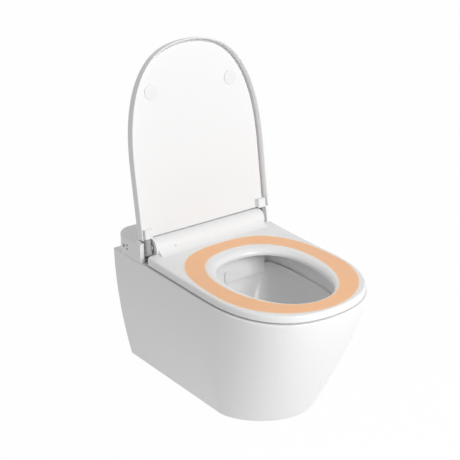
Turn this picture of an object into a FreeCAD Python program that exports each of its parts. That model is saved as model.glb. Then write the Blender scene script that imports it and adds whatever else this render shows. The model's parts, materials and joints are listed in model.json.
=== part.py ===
"""Wall-hung shower toilet: ceramic pan, heated seat, lid and wash unit, one STEP per piece.

Row frame, millimetres: the origin is midway between the two wall fixings, on the wall plane.
+Y points into the wall, +Z up, +X to the right of someone who faces the wall.
The lid is modelled open, as it stands at rest, and the seat is modelled down.
"""
import FreeCAD, Part
import math
import os

os.makedirs("parts", exist_ok=True)
V = FreeCAD.Vector

# ---------------------------------------------------------------- driving dimensions: ceramic pan
PAN_WIDTH = 375.0            # widest, along the rim and at the top of the wall face
PAN_LENGTH = 584.0           # wall to front of the rim
PAN_HEIGHT = 299.0
RIM_ABOVE_FIXINGS = 93.0     # rim plane above the two wall studs
BASE_BACK_WIDTH = 298.0      # underside, at the wall
BASE_FRONT_WIDTH = 277.0     # underside, where its nose starts
BASE_LENGTH = 471.0
RIM_NOSE = 220.0             # length of the curved nose at the rim
BASE_NOSE = 121.0
RIM_ROUNDNESS = 2.38         # superellipse exponents of the nose
BASE_ROUNDNESS = 1.77
SIDE_POWER = 1.83            # how the skirt curves in towards the base
FRONT_POWER = 1.30
NOSE_POWER = 1.66
RIM_EDGE_R = 3.0

BOWL_HALF_WIDTH = PAN_WIDTH / 2 - 47.5  # opening of the rim
BOWL_FRONT_Y = 39.0 - PAN_LENGTH
BOWL_REAR_Y = -184.0
BOWL_WIDEST_Y = 222.0 - PAN_LENGTH
BOWL_FRONT_POWER = 2.1
BOWL_REAR_POWER = 8.0        # the rear of the bowl is nearly straight, for the shield
BAND_HEIGHT = 46.0           # the upright wall below the rim
BAND_DRAFT = 5.0
LEDGE = 6.0                  # small step where the flush water runs
BOWL_DEPTH = 226.0
BOWL_CLOSING = 1.7           # how fast the bowl narrows on its way down
BOWL_LEVELS = (0.0, 0.2, 0.45, 0.7, 1.0)
PAN_LEVELS = (0.0, 0.12, 0.3, 0.5, 0.7, 0.87, 1.0)
WALL_TRIM = 2.0              # the drawn body runs past the wall plane, and is cut flat there
SUMP_HALF_WIDTH = 40.0
SUMP_Y = 279.0 - PAN_LENGTH
SUMP_REAR_POWER = 2.2

STUD_SPACING = 180.0
STUD_HOLE_R = 6.5            # for M12 studs
SLEEVE_R = 11.0
SLEEVE_LENGTH = 72.0
BOSS_R = 22.0
OUTLET_BELOW_STUDS = 100.0
OUTLET_R = 51.0              # spigot for the 102 mm connector
OUTLET_BORE_R = 43.0
INLET_ABOVE_STUDS = 35.0
INLET_BORE_R = 27.5          # 55 mm flush pipe socket
INLET_BOSS_R = 39.0
INLET_LENGTH = 60.0
TRAP_R = 29.0
TRAP_BELOW_SUMP = 9.8        # the passage's axis below the lowest point of the bowl
TRAP_DROP = 44.0
TRAP_LOW_RUN = 92.0
TRAP_RISE_RUN = 36.0
WEIR_ABOVE_OUTLET = 16.0
WEIR_END_Y = -98.0
SPIGOT_ENTRY = 4.0
RECESS_HALF_WIDTH = 120.0
RECESS_TOP = 62.0
RECESS_BOTTOM = -172.0
RECESS_DEPTH = 66.0

# ---------------------------------------------------------------- driving dimensions: seat and lid
HINGE_Y = -121.0
HINGE_ABOVE_RIM = 34.0
SEAT_GAP = 4.0               # seat underside above the ceramic
SEAT_THICKNESS = 15.5        # over the ring
SEAT_BASE_T = 4.0
SEAT_HALF_WIDTH = PAN_WIDTH / 2 - 6.0
SEAT_OVERHANG_BACK = 3.0     # the seat ends this far inside the front of the rim
SEAT_REAR_Y = -141.0
SEAT_REAR_RISE = 4.5
SEAT_EDGE_R = 5.5
BARREL_R = 22.5
BARREL_HALF_LENGTH = PAN_WIDTH / 2 - 29.5
RAMP_HALF_WIDTH = PAN_WIDTH / 2 - 34.5
RAMP_FRONT_Y = -169.0
HOLE_HALF_WIDTH = PAN_WIDTH / 2 - 79.5
HOLE_FRONT_Y = 55.0 - PAN_LENGTH
HOLE_REAR_Y = -238.0
HOLE_WIDEST_Y = 218.0 - PAN_LENGTH
HOLE_FRONT_POWER = 2.08
HOLE_REAR_POWER = 2.35
LIP_WIDTH = 20.0             # rounded roll from the ring down into the hole
LIP_AT_FRONT = 0.4           # share of the roll's width at the front of the hole
LIP_DEPTH = SEAT_THICKNESS * 0.75
LIP_ANGLES = (0, 25, 50, 72, 88)
RING_OUTER_HALF = SEAT_HALF_WIDTH - 11.3
RING_OUTER_FRONT_Y = 12.5 - PAN_LENGTH
RING_OUTER_REAR_Y = -171.5
RING_OUTER_WIDEST_Y = 195.0 - PAN_LENGTH
RING_OUTER_POWERS = (2.03, 2.8)
RING_INNER_HALF = SEAT_HALF_WIDTH - 50.5
RING_INNER_FRONT_Y = 46.0 - PAN_LENGTH
RING_INNER_REAR_Y = -207.3
RING_INNER_WIDEST_Y = 229.0 - PAN_LENGTH
RING_INNER_POWERS = (2.06, 2.3)
RING_T = 1.2                 # the coloured heated zone is let into the top
SEAT_LEVEL_END_Y = RING_INNER_REAR_Y - 60.0
RAMP_START_BACK = 22.16      # where the ramp leaves the barrel, from the hinge axis
RAMP_START_ABOVE = 1.8
RAMP_SAG_Y = 3.0
RAMP_SAG_Z = 2.2
RAMP_END_DROP = 0.6
SEAT_FEET = ((PAN_WIDTH / 2 - 24.5, 294.0 - PAN_LENGTH), (PAN_WIDTH / 2 - 59.5, 84.0 - PAN_LENGTH))
SEAT_FOOT_R = 8.0
SEAT_FOOT_GAP = 0.3
FOIL_INSET = 8.0
FOIL_T = 1.0
SENSOR_X = -106.0
SENSOR_R = 2.6
SENSOR_LENGTH = 4.8
SENSOR_INSET = 0.2

LID_TILT_DEG = 8.4           # behind upright, when open
LID_HALF_WIDTH = PAN_WIDTH / 2 - 3.1
LID_REAR_S = 24.5            # from the hinge axis to the lid's rear end
LID_TIP_S = PAN_LENGTH + HINGE_Y - 2.5  # from the hinge axis to the lid's tip
LID_DEPTH = 25.0
LID_RIM_BELOW_AXIS = 8.9
LID_NOSE = 285.0
LID_ROUNDNESS = 2.49
LID_WALL = 9.2
LID_SKIN = 4.0
LID_PANEL_RECESS = 14.0
LID_PANEL_T = 2.6
LID_EDGE_R = 6.0

KNUCKLE_OUTER = PAN_WIDTH / 2 - 12.5
KNUCKLE_INNER = KNUCKLE_OUTER - 11.3
KNUCKLE_GAP = 0.4            # between the knuckle's eye and the lid's rear
KNUCKLE_CAP = 2.5            # closed end of the knuckle's bore
TONGUE_MARGIN = 1.5
TONGUE_LENGTH = 17.0
TONGUE_BELOW = 2.5
TONGUE_ABOVE = 2.0
KNUCKLE_R = 16.1
PIN_R = 4.5
RUNNING = 0.05               # radial clearance of a pin in its bore
BRACKET_INNER = BARREL_HALF_LENGTH + 1.0
BRACKET_T = 3.5
BRACKET_EYE_R = 10.0
BRACKET_FOOT_WIDTH = 22.0
BRACKET_FOOT_T = 2.5
BRACKET_END_Y = -42.0
BRACKET_RIB = 8.0
SLOT_PLAY = 0.6
SLOT_ABOVE_AXIS = 13.0
PIN_IN_DAMPER = 18.0
PIN_IN_KNUCKLE = 8.0         # how far the pin enters the knuckle's eye, less its end play
DAMPER_R = 11.0
DAMPER_LENGTH = 42.0
DAMPER_INSET = 1.0

# ---------------------------------------------------------------- driving dimensions: wash unit
HOUSING_HEIGHT = 49.0
HOUSING_FRONT_Y = -95.5
ARM_FRONT_Y = -118.5
ARM_INNER = PAN_WIDTH / 2 - 11.0
HOUSING_BACK_Y = -4.0
HOUSING_WALL = 3.0
HOUSING_CORNER_R = 40.0
HOUSING_EDGE_R = 6.0
SHELL_GAP = 0.5              # between the cover and the ceramic
PLATE_T = 3.0
TRAY_T = 2.5
SEAT_BOLT_SPACING = 155.0
SEAT_BOLT_Y = -25.0
SEAT_BOLT_R = 4.0
BOLT_HOLE_R = 6.5
CLAMP_BOLT_Y = -52.0
CLAMP_HEAD_R = 6.5
CLAMP_HEAD_T = 5.0
CLAMP_ACCESS_R = 8.0
CLAMP_END_GAP = 0.4          # between a clamp screw and the stud's bore
HEX_SOCKET_R = 3.0
HEX_SOCKET_FLOOR = 2.0
SEAL_LENGTH = 14.0
NUT_FLATS = 13.0
NUT_T = 6.5
UNDER_WASHER_T = 4.0
BOLT_BELOW_RECESS = 18.0
BOLT_FLANGE_T = 2.0
BOLT_HEAD_R = 6.5
BOLT_HEAD_T = 5.0

WAND_SLOPE_DEG = 17.0
WAND_R = 8.0
WAND_REAR_Y = -78.0
WAND_EXIT_Y = -208.0
WAND_EXIT_BELOW_RIM = 52.5   # wand axis where it leaves the shield
GUIDE_BORE_R = 8.4
GUIDE_R = 11.4
WELL_HALF_WIDTH = 28.0
RACK_MODULE = 1.25
PINION_TEETH = 12
PINION_WIDTH = 6.0
RACK_PITCH_ABOVE = 12.0
MESH_Y = -180.0
SHIELD_HALF_WIDTH = BOWL_HALF_WIDTH - 33.0
SHIELD_T = 4.0
SHIELD_TOP_BELOW_RIM = 11.0
SHIELD_BOTTOM_BELOW_RIM = 67.0
SHIELD_CORNER_R = 5.0
SHIELD_FOOT_LENGTH = 13.0
SHIELD_FOOT_T = 5.0
WELL_REAR_Y = WAND_REAR_Y + 3.0
WELL_FRONT_Y = BOWL_REAR_Y - 22.0
WELL_CLEARANCE = 2.0
WELL_PLAY = 0.3
PLATE_WELL_PLAY = 2.0
PLATE_WELL_REAR_Y = WAND_REAR_Y + 6.0
WELL_COVER_T = 2.4
WELL_COVER_DEPTH = 9.0
WELL_COVER_DROP = 0.2
WELL_COVER_FRONT_Y = BOWL_REAR_Y - 12.0

WAND_FLAT = 7.0              # flat on top of the wand that carries the rack
RACK_FRONT_Y = -190.0
RACK_SLOT = 4.2              # half width of the slot that the rack runs in
TOOTH_PLAY = 0.12
SHAFT_R = 1.5
MOTOR_GAP = 1.0
MOTOR_R = 10.0
MOTOR_LENGTH = 19.0
MOTOR_SHAFT_IN = 6.0
MOTOR_SOCKET = 8.0
CRADLE_BOTTOM = 8.2
CRADLE_WIDTH = 8.0
PRESSURE_DEG = 20.0
RACK_DEDENDUM = 1.25
PINION_ADDENDUM = 0.9
PINION_DEDENDUM = 1.15
WAND_TIP_LENGTH = 22.0
CHANNEL_R = 2.2
CHANNEL_X = 3.2
CHANNEL_BELOW = 1.0
JET_R = 1.1
JETS = ((0.0, 8.0), (-2.5, 14.0), (2.5, 14.0))  # across the wand, and back from its exit
SADDLE_T = 12.0
SADDLE_BACK = 4.0
SADDLE_TOP = -2.0
GUIDE_REAR_PLAY = 4.0        # the guide stops short of the wand's rear end
COVER_EXTRA_TOP = 4.0
COVER_CORNER_R = 6.0
COVER_HALF = 12.5
COVER_T = 2.2
COVER_GAP = 0.4              # between the wand's end plate and the shield
NIGHT_LIGHT_X = 62.0
NIGHT_LIGHT_R = 4.0
NIGHT_LIGHT_DROP = 16.0
NIGHT_LIGHT_LENGTH = 8.0

LUG_INNER = RAMP_HALF_WIDTH + 2.5  # outside the seat's ramp
LUG_LENGTH = 22.0
LUG_BELOW = 0.6
LID_BUFFER_X = HOLE_HALF_WIDTH + 3.0
LID_BUFFER_S = LID_TIP_S - 106.5
LID_BUFFER_T = 2.2
LID_BUFFER_STEM_R = 4.0
LID_BUFFER_CHAMFER = 0.8
LID_BUFFER_R = 17.5
PLATE_HALF = PAN_WIDTH / 2 - 21.5
PLATE_FRONT_Y = -90.0
PLATE_BACK_Y = -12.0
WASHER_R = 9.0
INLET_PIPE_R = 22.5
SUPPLY_X = 37.5 - PAN_WIDTH / 2
SUPPLY_Z = 116.0
SUPPLY_R = 10.4              # G1/2 male thread
SUPPLY_VALVE_Y = -16.0
SUPPLY_END_Y = -2.0
SUPPLY_PLAY = 1.5
WATERWAY_R = 4.0
GLAND_X = PAN_WIDTH / 2 - 55.5
GLAND_R = 6.0
GLAND_FLANGE = 3.0
GLAND_BORE_R = 3.5
GLAND_PLAY = 0.5
PORT_R = 4.0
PORT_LENGTH = 5.0
PORT_ABOVE_FLOOR = 16.0
HOSE_R = 3.0
VALVE_HOSE_BEND = 5.0
PUMP_HOSE_BEND = 30.0
TANK_OUTER_X = SUPPLY_X + 18.0
TANK_INNER_X = -52.0
TANK_FRONT_Y = -72.0
TANK_BACK_Y = -42.0
TANK_HEIGHT = 32.0
TANK_EDGE_R = 3.0
TANK_PORT_Y = -57.0
VALVE_HALF = 12.0
VALVE_LENGTH = 18.0
VALVE_HEIGHT = 24.0
COIL_R = 8.0
COIL_HEIGHT = 12.0
BOARD_X = GLAND_X - 16.0     # inner edge of the control board
BOARD_WIDTH = 40.0
BOARD_FRONT_Y = -76.0
BOARD_LENGTH = 60.0
BOARD_T = 1.6
POST_HEIGHT = 6.0
POST_R = 2.5
POST_INSET = 3.0
PUMP_X = BOARD_X - 50.0
PUMP_Y = -60.0
PUMP_R = 15.0
PUMP_LENGTH = 42.0
PUMP_FOOT = (4.0, 38.0, 10.0, 6.0)  # start and end along X, half width, height
PUMP_PORT_LENGTH = 6.0
BUTTON_GAP = 0.3
BUTTON_PROUD = 0.4
BUTTON_PLAY = 0.3
BUTTON_TRAVEL = 1.2
BUTTON_DEPTH = 9.0
BUTTON_FLANGE = 1.2
BUTTON_FLANGE_T = 2.0
SWITCH_GAP = 1.2             # left under a pressed button
SWITCH_HALF = 1.5
SWITCH_T = 0.9
BUTTON_BOARD_Y = (-70.0, -38.0)
BUTTON_BOARD_TOP = RIM_ABOVE_FIXINGS + 35.0
BUTTONS = (("power_button", -46.0, 115.0, 3.7),
           ("wash_button", -60.8, 120.6, 2.5),
           ("stop_button", -60.8, 111.2, 2.5))

CURVE_STEPS = (0, 28, 58, 90)  # degrees, where a rounded outline's curve pieces meet

# ---------------------------------------------------------------- levels worked out from the above
RIM_Z = RIM_ABOVE_FIXINGS
BASE_Z = RIM_Z - PAN_HEIGHT
HINGE_Z = RIM_Z + HINGE_ABOVE_RIM
SEAT_Z0 = RIM_Z + SEAT_GAP
SEAT_TOP = SEAT_Z0 + SEAT_THICKNESS
HOUSING_TOP = RIM_Z + HOUSING_HEIGHT
LID_RIM_Z = HINGE_Z - LID_RIM_BELOW_AXIS
LID_TOP_Z = LID_RIM_Z + LID_DEPTH
LID_REAR_Y = HINGE_Y - LID_REAR_S
LID_TIP_Y = HINGE_Y - LID_TIP_S
PANEL_Z = LID_RIM_Z + LID_PANEL_RECESS


# ---------------------------------------------------------------- helpers
def box(x0, x1, y0, y1, z0, z1):
    return Part.makeBox(x1 - x0, y1 - y0, z1 - z0, V(x0, y0, z0))


def rod(start, direction, radius, length):
    return Part.makeCylinder(radius, length, V(*start), V(*direction))


def mirrored(shape):
    """The same piece on the other side of the centre plane."""
    return shape.mirror(V(0, 0, 0), V(1, 0, 0))


def pair(shape):
    return Part.makeCompound([shape, mirrored(shape)])


def fused(*shapes):
    return shapes[0].fuse(list(shapes[1:])).removeSplitter()


def side_prism(points, x0, x1):
    """A polygon in the YZ plane, drawn out along X."""
    wire = Part.makePolygon([V(x0, y, z) for y, z in points + points[:1]])
    return Part.Face(wire).extrude(V(x1 - x0, 0, 0))


def quarter_nodes(half, reach, exponent):
    """Points and directions along a quarter superellipse, from its side (half, 0) to its tip."""
    nodes = []
    for degrees in CURVE_STEPS:
        c, s = math.cos(math.radians(degrees)), math.sin(math.radians(degrees))
        power = 2.0 / exponent
        if degrees == CURVE_STEPS[0]:
            nodes.append((half, 0.0, 0.0, 1.0))
        elif degrees == CURVE_STEPS[-1]:
            nodes.append((0.0, reach, -1.0, 0.0))
        else:
            nodes.append((half * c ** power, reach * s ** power,
                          -half * c ** (power - 1) * s, reach * s ** (power - 1) * c))
    return nodes


def smooth_edges(nodes):
    """Bezier edges through (point, direction) pairs, tangent to each other."""
    edges = []
    for (start, out), (end, into) in zip(nodes, nodes[1:]):
        turn = out.getAngle(into)
        handle = (end - start).Length / (3 * math.cos(turn / 4) ** 2)
        curve = Part.BezierCurve()
        curve.setPoles([start, start + out * handle, end - into * handle, end])
        edges.append(curve.toShape())
    return edges


def nose_edges(half, widest_y, reach, exponent, z):
    """From the right side round the tip to the left side; reach is negative towards the front."""
    sign = 1.0 if reach > 0 else -1.0
    right, left = [], []
    for x, y, dx, dy in quarter_nodes(half, abs(reach), exponent):
        right.append((V(x, widest_y + sign * y, z), V(dx, sign * dy, 0).normalize()))
        left.append((V(-x, widest_y + sign * y, z), V(dx, -sign * dy, 0).normalize()))
    return smooth_edges(right + left[-2::-1])


def d_outline(half_back, half_front, back_y, tip_y, nose, exponent, z):
    """Straight back, straight sides and a rounded front, as one closed wire."""
    widest_y = tip_y + nose
    right, left = V(half_back, back_y, z), V(-half_back, back_y, z)
    start, end = V(half_front, widest_y, z), V(-half_front, widest_y, z)
    edges = [Part.LineSegment(left, right).toShape(), Part.LineSegment(right, start).toShape()]
    edges += nose_edges(half_front, widest_y, -nose, exponent, z)
    edges.append(Part.LineSegment(end, left).toShape())
    return Part.Wire(edges)


def egg(half, front_y, rear_y, widest_y, z, front_power=2.05, rear_power=2.6):
    """A closed oval: its front and rear halves have their own lengths and roundness."""
    front = nose_edges(half, widest_y, front_y - widest_y, front_power, z)
    rear = nose_edges(half, widest_y, rear_y - widest_y, rear_power, z)
    return Part.Wire(front + rear[::-1])


def loft(wires, ruled=False):
    return Part.makeLoft(wires, True, ruled)


def slab(wire, height):
    return Part.Face(wire).extrude(V(0, 0, height))


def hex_nut(centre, across_flats, height, bore):
    radius = across_flats / math.sqrt(3.0)
    corners = [V(centre[0] + radius * math.cos(math.radians(60 * i)),
                 centre[1] + radius * math.sin(math.radians(60 * i)), centre[2]) for i in range(7)]
    nut = Part.Face(Part.makePolygon(corners)).extrude(V(0, 0, height))
    return nut.cut(rod(centre, (0, 0, 1), bore, height))


def lid_open(shape):
    """Everything of the lid is drawn closed, then swung up to its place at rest."""
    moved = shape.copy()
    moved.rotate(V(0, HINGE_Y, HINGE_Z), V(1, 0, 0), -(90.0 + LID_TILT_DEG))
    return moved


def save(name, shape):
    assert shape.isValid(), name
    shape.exportStep("parts/%s.step" % name)
    print("%-24s solids %2d  volume %10.1f" % (name, len(shape.Solids), shape.Volume))


# ---------------------------------------------------------------- ceramic pan
def pan_outline(z, inset=0.0, back_y=0.0):
    """The outer outline of the pan at a height: it curves in towards the base."""
    t = (RIM_Z - z) / PAN_HEIGHT
    rim_half = PAN_WIDTH / 2.0
    half_back = rim_half - (rim_half - BASE_BACK_WIDTH / 2) * t ** SIDE_POWER
    half_front = rim_half - (rim_half - BASE_FRONT_WIDTH / 2) * t ** SIDE_POWER
    length = PAN_LENGTH - (PAN_LENGTH - BASE_LENGTH) * t ** FRONT_POWER
    nose = RIM_NOSE - (RIM_NOSE - BASE_NOSE) * t ** NOSE_POWER
    roundness = RIM_ROUNDNESS - (RIM_ROUNDNESS - BASE_ROUNDNESS) * t ** NOSE_POWER
    return d_outline(half_back - inset, half_front - inset, back_y, -length + inset,
                     nose - inset, roundness, z)


def bowl_cavity():
    """Upright band under the rim, a small step, and a bowl that closes down to the sump."""
    band_z = RIM_Z - BAND_HEIGHT
    over = 2.0

    def band_wire(z, inset):
        return egg(BOWL_HALF_WIDTH - inset, BOWL_FRONT_Y + inset, BOWL_REAR_Y - inset,
                   BOWL_WIDEST_Y, z, BOWL_FRONT_POWER, BOWL_REAR_POWER)

    band = loft([band_wire(RIM_Z + over, 0.0), band_wire(band_z, BAND_DRAFT)], True)
    wires = []
    for step in BOWL_LEVELS:
        shrink = step ** BOWL_CLOSING
        top_half = BOWL_HALF_WIDTH - BAND_DRAFT - LEDGE
        half = top_half + (SUMP_HALF_WIDTH - top_half) * shrink
        front = BOWL_FRONT_Y + BAND_DRAFT + LEDGE
        front += (SUMP_Y - SUMP_HALF_WIDTH - front) * shrink
        rear = BOWL_REAR_Y - BAND_DRAFT - LEDGE
        rear += (SUMP_Y + SUMP_HALF_WIDTH - rear) * shrink
        widest = BOWL_WIDEST_Y + (SUMP_Y - BOWL_WIDEST_Y) * shrink
        z = band_z - step * (BOWL_DEPTH - BAND_HEIGHT)
        rear_power = BOWL_REAR_POWER + (SUMP_REAR_POWER - BOWL_REAR_POWER) * math.sqrt(shrink)
        wires.append(egg(half, front, rear, widest, z, BOWL_FRONT_POWER, rear_power))
    return band, loft(wires)


def trap_passage():
    """Bore from the sump, down under the lip, up over the weir and out to the wall."""
    outlet_z = -OUTLET_BELOW_STUDS
    low_z = RIM_Z - BOWL_DEPTH - TRAP_BELOW_SUMP
    weir_z = outlet_z + WEIR_ABOVE_OUTLET
    bend_y = SUMP_Y + TRAP_LOW_RUN
    path = [V(0, SUMP_Y, low_z + TRAP_DROP), V(0, SUMP_Y, low_z), V(0, bend_y, low_z),
            V(0, bend_y + TRAP_RISE_RUN, weir_z), V(0, WEIR_END_Y, weir_z),
            V(0, SPIGOT_ENTRY - RECESS_DEPTH, outlet_z)]
    cutters = []
    for start, end in zip(path, path[1:]):
        run = end - start
        cutters.append(Part.makeCylinder(TRAP_R, run.Length, start, run))
        cutters.append(Part.makeSphere(TRAP_R, end))
    return cutters[0].fuse(cutters[1:])


def wand_axis_z(y):
    """Height of the wand's axis at a distance from the wall."""
    exit_z = RIM_Z - WAND_EXIT_BELOW_RIM
    return exit_z + (y - WAND_EXIT_Y) * math.tan(math.radians(WAND_SLOPE_DEG))


def wand_well():
    """The channel in the deck that the wash wand runs down."""
    below = GUIDE_R + WELL_CLEARANCE
    points = [(WELL_REAR_Y, RIM_Z + 1.0), (WELL_REAR_Y, wand_axis_z(WELL_REAR_Y) - below),
              (WELL_FRONT_Y, wand_axis_z(WELL_FRONT_Y) - below), (WELL_FRONT_Y, RIM_Z + 1.0)]
    return side_prism(points, -WELL_HALF_WIDTH, WELL_HALF_WIDTH)


def ceramic_pan():
    body = loft([pan_outline(RIM_Z - PAN_HEIGHT * t, back_y=WALL_TRIM) for t in PAN_LEVELS])
    body = body.cut(box(-PAN_WIDTH, PAN_WIDTH, 0.0, 2 * WALL_TRIM, BASE_Z - 1, RIM_Z + 1))
    band, bowl = bowl_cavity()
    recess = box(-RECESS_HALF_WIDTH, RECESS_HALF_WIDTH, -RECESS_DEPTH, 1.0,
                 RECESS_BOTTOM, RECESS_TOP)
    back = (0, 1, 0)
    half = STUD_SPACING / 2
    outlet = rod((0, -RECESS_DEPTH - 1, -OUTLET_BELOW_STUDS), back, OUTLET_R, RECESS_DEPTH + 1)
    inlet = rod((0, -RECESS_DEPTH - 1, INLET_ABOVE_STUDS), back, INLET_BOSS_R, RECESS_DEPTH + 1)
    boss = rod((half, -RECESS_DEPTH - 1, 0), back, BOSS_R, RECESS_DEPTH + 1)
    bosses = outlet.fuse([inlet, boss, mirrored(boss)]).common(
        box(-RECESS_HALF_WIDTH - 1, RECESS_HALF_WIDTH + 1, -RECESS_DEPTH - 1, 0,
            RECESS_BOTTOM - 1, RECESS_TOP + 1))
    body = body.cut(recess).fuse(bosses)
    sleeve_bore = rod((half, 1, 0), (0, -1, 0), SLEEVE_R, SLEEVE_LENGTH + 1)
    seat_hole = rod((SEAT_BOLT_SPACING / 2, SEAT_BOLT_Y, RECESS_TOP - 1), (0, 0, 1),
                    BOLT_HOLE_R, RIM_Z - RECESS_TOP + 2)
    clamp_hole = rod((half, CLAMP_BOLT_Y, 0), (0, 0, 1), SEAT_BOLT_R, RIM_Z + 1)
    flushway = rod((0, 1, INLET_ABOVE_STUDS), (0, -1, 0), INLET_BORE_R, INLET_LENGTH + 1)
    spigot_bore = rod((0, 1, -OUTLET_BELOW_STUDS), (0, -1, 0), OUTLET_BORE_R, RECESS_DEPTH + 1)
    pan = body.cut([band, bowl, wand_well(), sleeve_bore, mirrored(sleeve_bore), seat_hole,
                    mirrored(seat_hole), clamp_hole, mirrored(clamp_hole), flushway,
                    spigot_bore, trap_passage()]).removeSplitter()
    rim = [e for e in pan.Edges if e.BoundBox.ZMin > RIM_Z - 0.01
           and e.BoundBox.XLength + e.BoundBox.YLength > 3 * WELL_HALF_WIDTH
           and e.BoundBox.YMax < WAND_REAR_Y]
    return pan.makeFillet(RIM_EDGE_R, rim)


save("ceramic_pan", ceramic_pan())


# ---------------------------------------------------------------- seat
def seat_top_z(y):
    """Height of the seat's top: level over the ring, a little higher towards the hinge."""
    if y <= SEAT_LEVEL_END_Y:
        return SEAT_TOP
    along_rise = (y - SEAT_LEVEL_END_Y) / (SEAT_REAR_Y - SEAT_LEVEL_END_Y)
    return SEAT_TOP + SEAT_REAR_RISE * along_rise ** 2


def under_seat_top(drop):
    """The space below the seat's top surface, lowered by drop."""
    middle = (SEAT_LEVEL_END_Y + SEAT_REAR_Y) / 2
    front, rear = -PAN_LENGTH - 10.0, SEAT_REAR_Y
    floor = SEAT_Z0 - 20.0

    def at(y):
        return V(-PAN_WIDTH, y, seat_top_z(y) - drop)

    level_end = at(SEAT_LEVEL_END_Y)
    rise = Part.Arc(level_end, at(middle), at(rear)).toShape()
    wire = Part.Wire([
        Part.LineSegment(V(-PAN_WIDTH, front, SEAT_TOP - drop), level_end).toShape(), rise,
        Part.LineSegment(at(rear), V(-PAN_WIDTH, rear, floor)).toShape(),
        Part.LineSegment(V(-PAN_WIDTH, rear, floor), V(-PAN_WIDTH, front, floor)).toShape(),
        Part.LineSegment(V(-PAN_WIDTH, front, floor),
                         V(-PAN_WIDTH, front, SEAT_TOP - drop)).toShape()])
    return Part.Face(wire).extrude(V(2 * PAN_WIDTH, 0, 0))


def seat_outline(z, inset=0.0):
    return d_outline(SEAT_HALF_WIDTH - inset, SEAT_HALF_WIDTH - inset, SEAT_REAR_Y,
                     -PAN_LENGTH + SEAT_OVERHANG_BACK + inset, RIM_NOSE - SEAT_OVERHANG_BACK - inset,
                     RIM_ROUNDNESS, z)


def seat_hole_cutter():
    """The hole, with the wide rounded roll from the ring down into it."""
    top = SEAT_TOP + SEAT_REAR_RISE

    def at(z, spread):
        return egg(HOLE_HALF_WIDTH + spread, HOLE_FRONT_Y - spread * LIP_AT_FRONT,
                   HOLE_REAR_Y + spread, HOLE_WIDEST_Y, z, HOLE_FRONT_POWER, HOLE_REAR_POWER)

    bottom = SEAT_TOP - LIP_DEPTH
    levels = []
    for degrees in LIP_ANGLES:
        angle = math.radians(degrees)
        spread = LIP_WIDTH * (1 - math.cos(angle))
        levels.append(at(bottom + LIP_DEPTH * math.sin(angle), spread))
    levels.append(at(top + 6.0, LIP_WIDTH * 1.05))
    straight = slab(at(SEAT_Z0 - 5.0, 0.0), bottom - SEAT_Z0 + 5.0)
    return loft(levels), straight


def seat_body():
    """The whole seat as one form, later divided into its shells and the heated zone."""
    blank = slab(seat_outline(SEAT_Z0), SEAT_THICKNESS + SEAT_REAR_RISE + 4.0)
    blank = blank.common(under_seat_top(0.0))
    rims = []
    for edge in blank.Edges:
        bounds = edge.BoundBox
        across = bounds.YLength < 0.01
        if bounds.ZMin > SEAT_TOP - 0.5 and not across:
            rims.append(edge)
    blank = blank.makeFillet(SEAT_EDGE_R, rims)
    cone, straight = seat_hole_cutter()
    blank = blank.cut([cone, straight])
    return blank


def heated_zone_column():
    outer = egg(RING_OUTER_HALF, RING_OUTER_FRONT_Y, RING_OUTER_REAR_Y, RING_OUTER_WIDEST_Y,
                SEAT_Z0, *RING_OUTER_POWERS)
    inner = egg(RING_INNER_HALF, RING_INNER_FRONT_Y, RING_INNER_REAR_Y, RING_INNER_WIDEST_Y,
                SEAT_Z0, *RING_INNER_POWERS)
    height = SEAT_THICKNESS + SEAT_REAR_RISE + 5.0
    return slab(outer, height).cut(slab(inner, height))


def hinge_barrel():
    """Barrel round the hinge axis, and the ramp that runs from it down to the seat's top."""
    barrel = rod((-BARREL_HALF_LENGTH, HINGE_Y, HINGE_Z), (1, 0, 0), BARREL_R,
                 2 * BARREL_HALF_LENGTH)
    start = V(-RAMP_HALF_WIDTH, HINGE_Y - RAMP_START_BACK, HINGE_Z + RAMP_START_ABOVE)
    end = V(-RAMP_HALF_WIDTH, RAMP_FRONT_Y, seat_top_z(RAMP_FRONT_Y) - RAMP_END_DROP)
    middle = V(-RAMP_HALF_WIDTH, (start.y + end.y) / 2 + RAMP_SAG_Y,
               (start.z + end.z) / 2 - RAMP_SAG_Z)
    corners = [end, V(-RAMP_HALF_WIDTH, RAMP_FRONT_Y, SEAT_Z0 + SEAT_BASE_T),
               V(-RAMP_HALF_WIDTH, HINGE_Y, SEAT_Z0 + SEAT_BASE_T),
               V(-RAMP_HALF_WIDTH, HINGE_Y, HINGE_Z), start]
    edges = [Part.Arc(start, middle, end).toShape()]
    edges += [Part.LineSegment(a, b).toShape() for a, b in zip(corners, corners[1:])]
    ramp = Part.Face(Part.Wire(edges)).extrude(V(2 * RAMP_HALF_WIDTH, 0, 0))
    return barrel, ramp


def damper_bore():
    return rod((BARREL_HALF_LENGTH + 1, HINGE_Y, HINGE_Z), (-1, 0, 0), DAMPER_R,
               DAMPER_LENGTH + 2)


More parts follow.
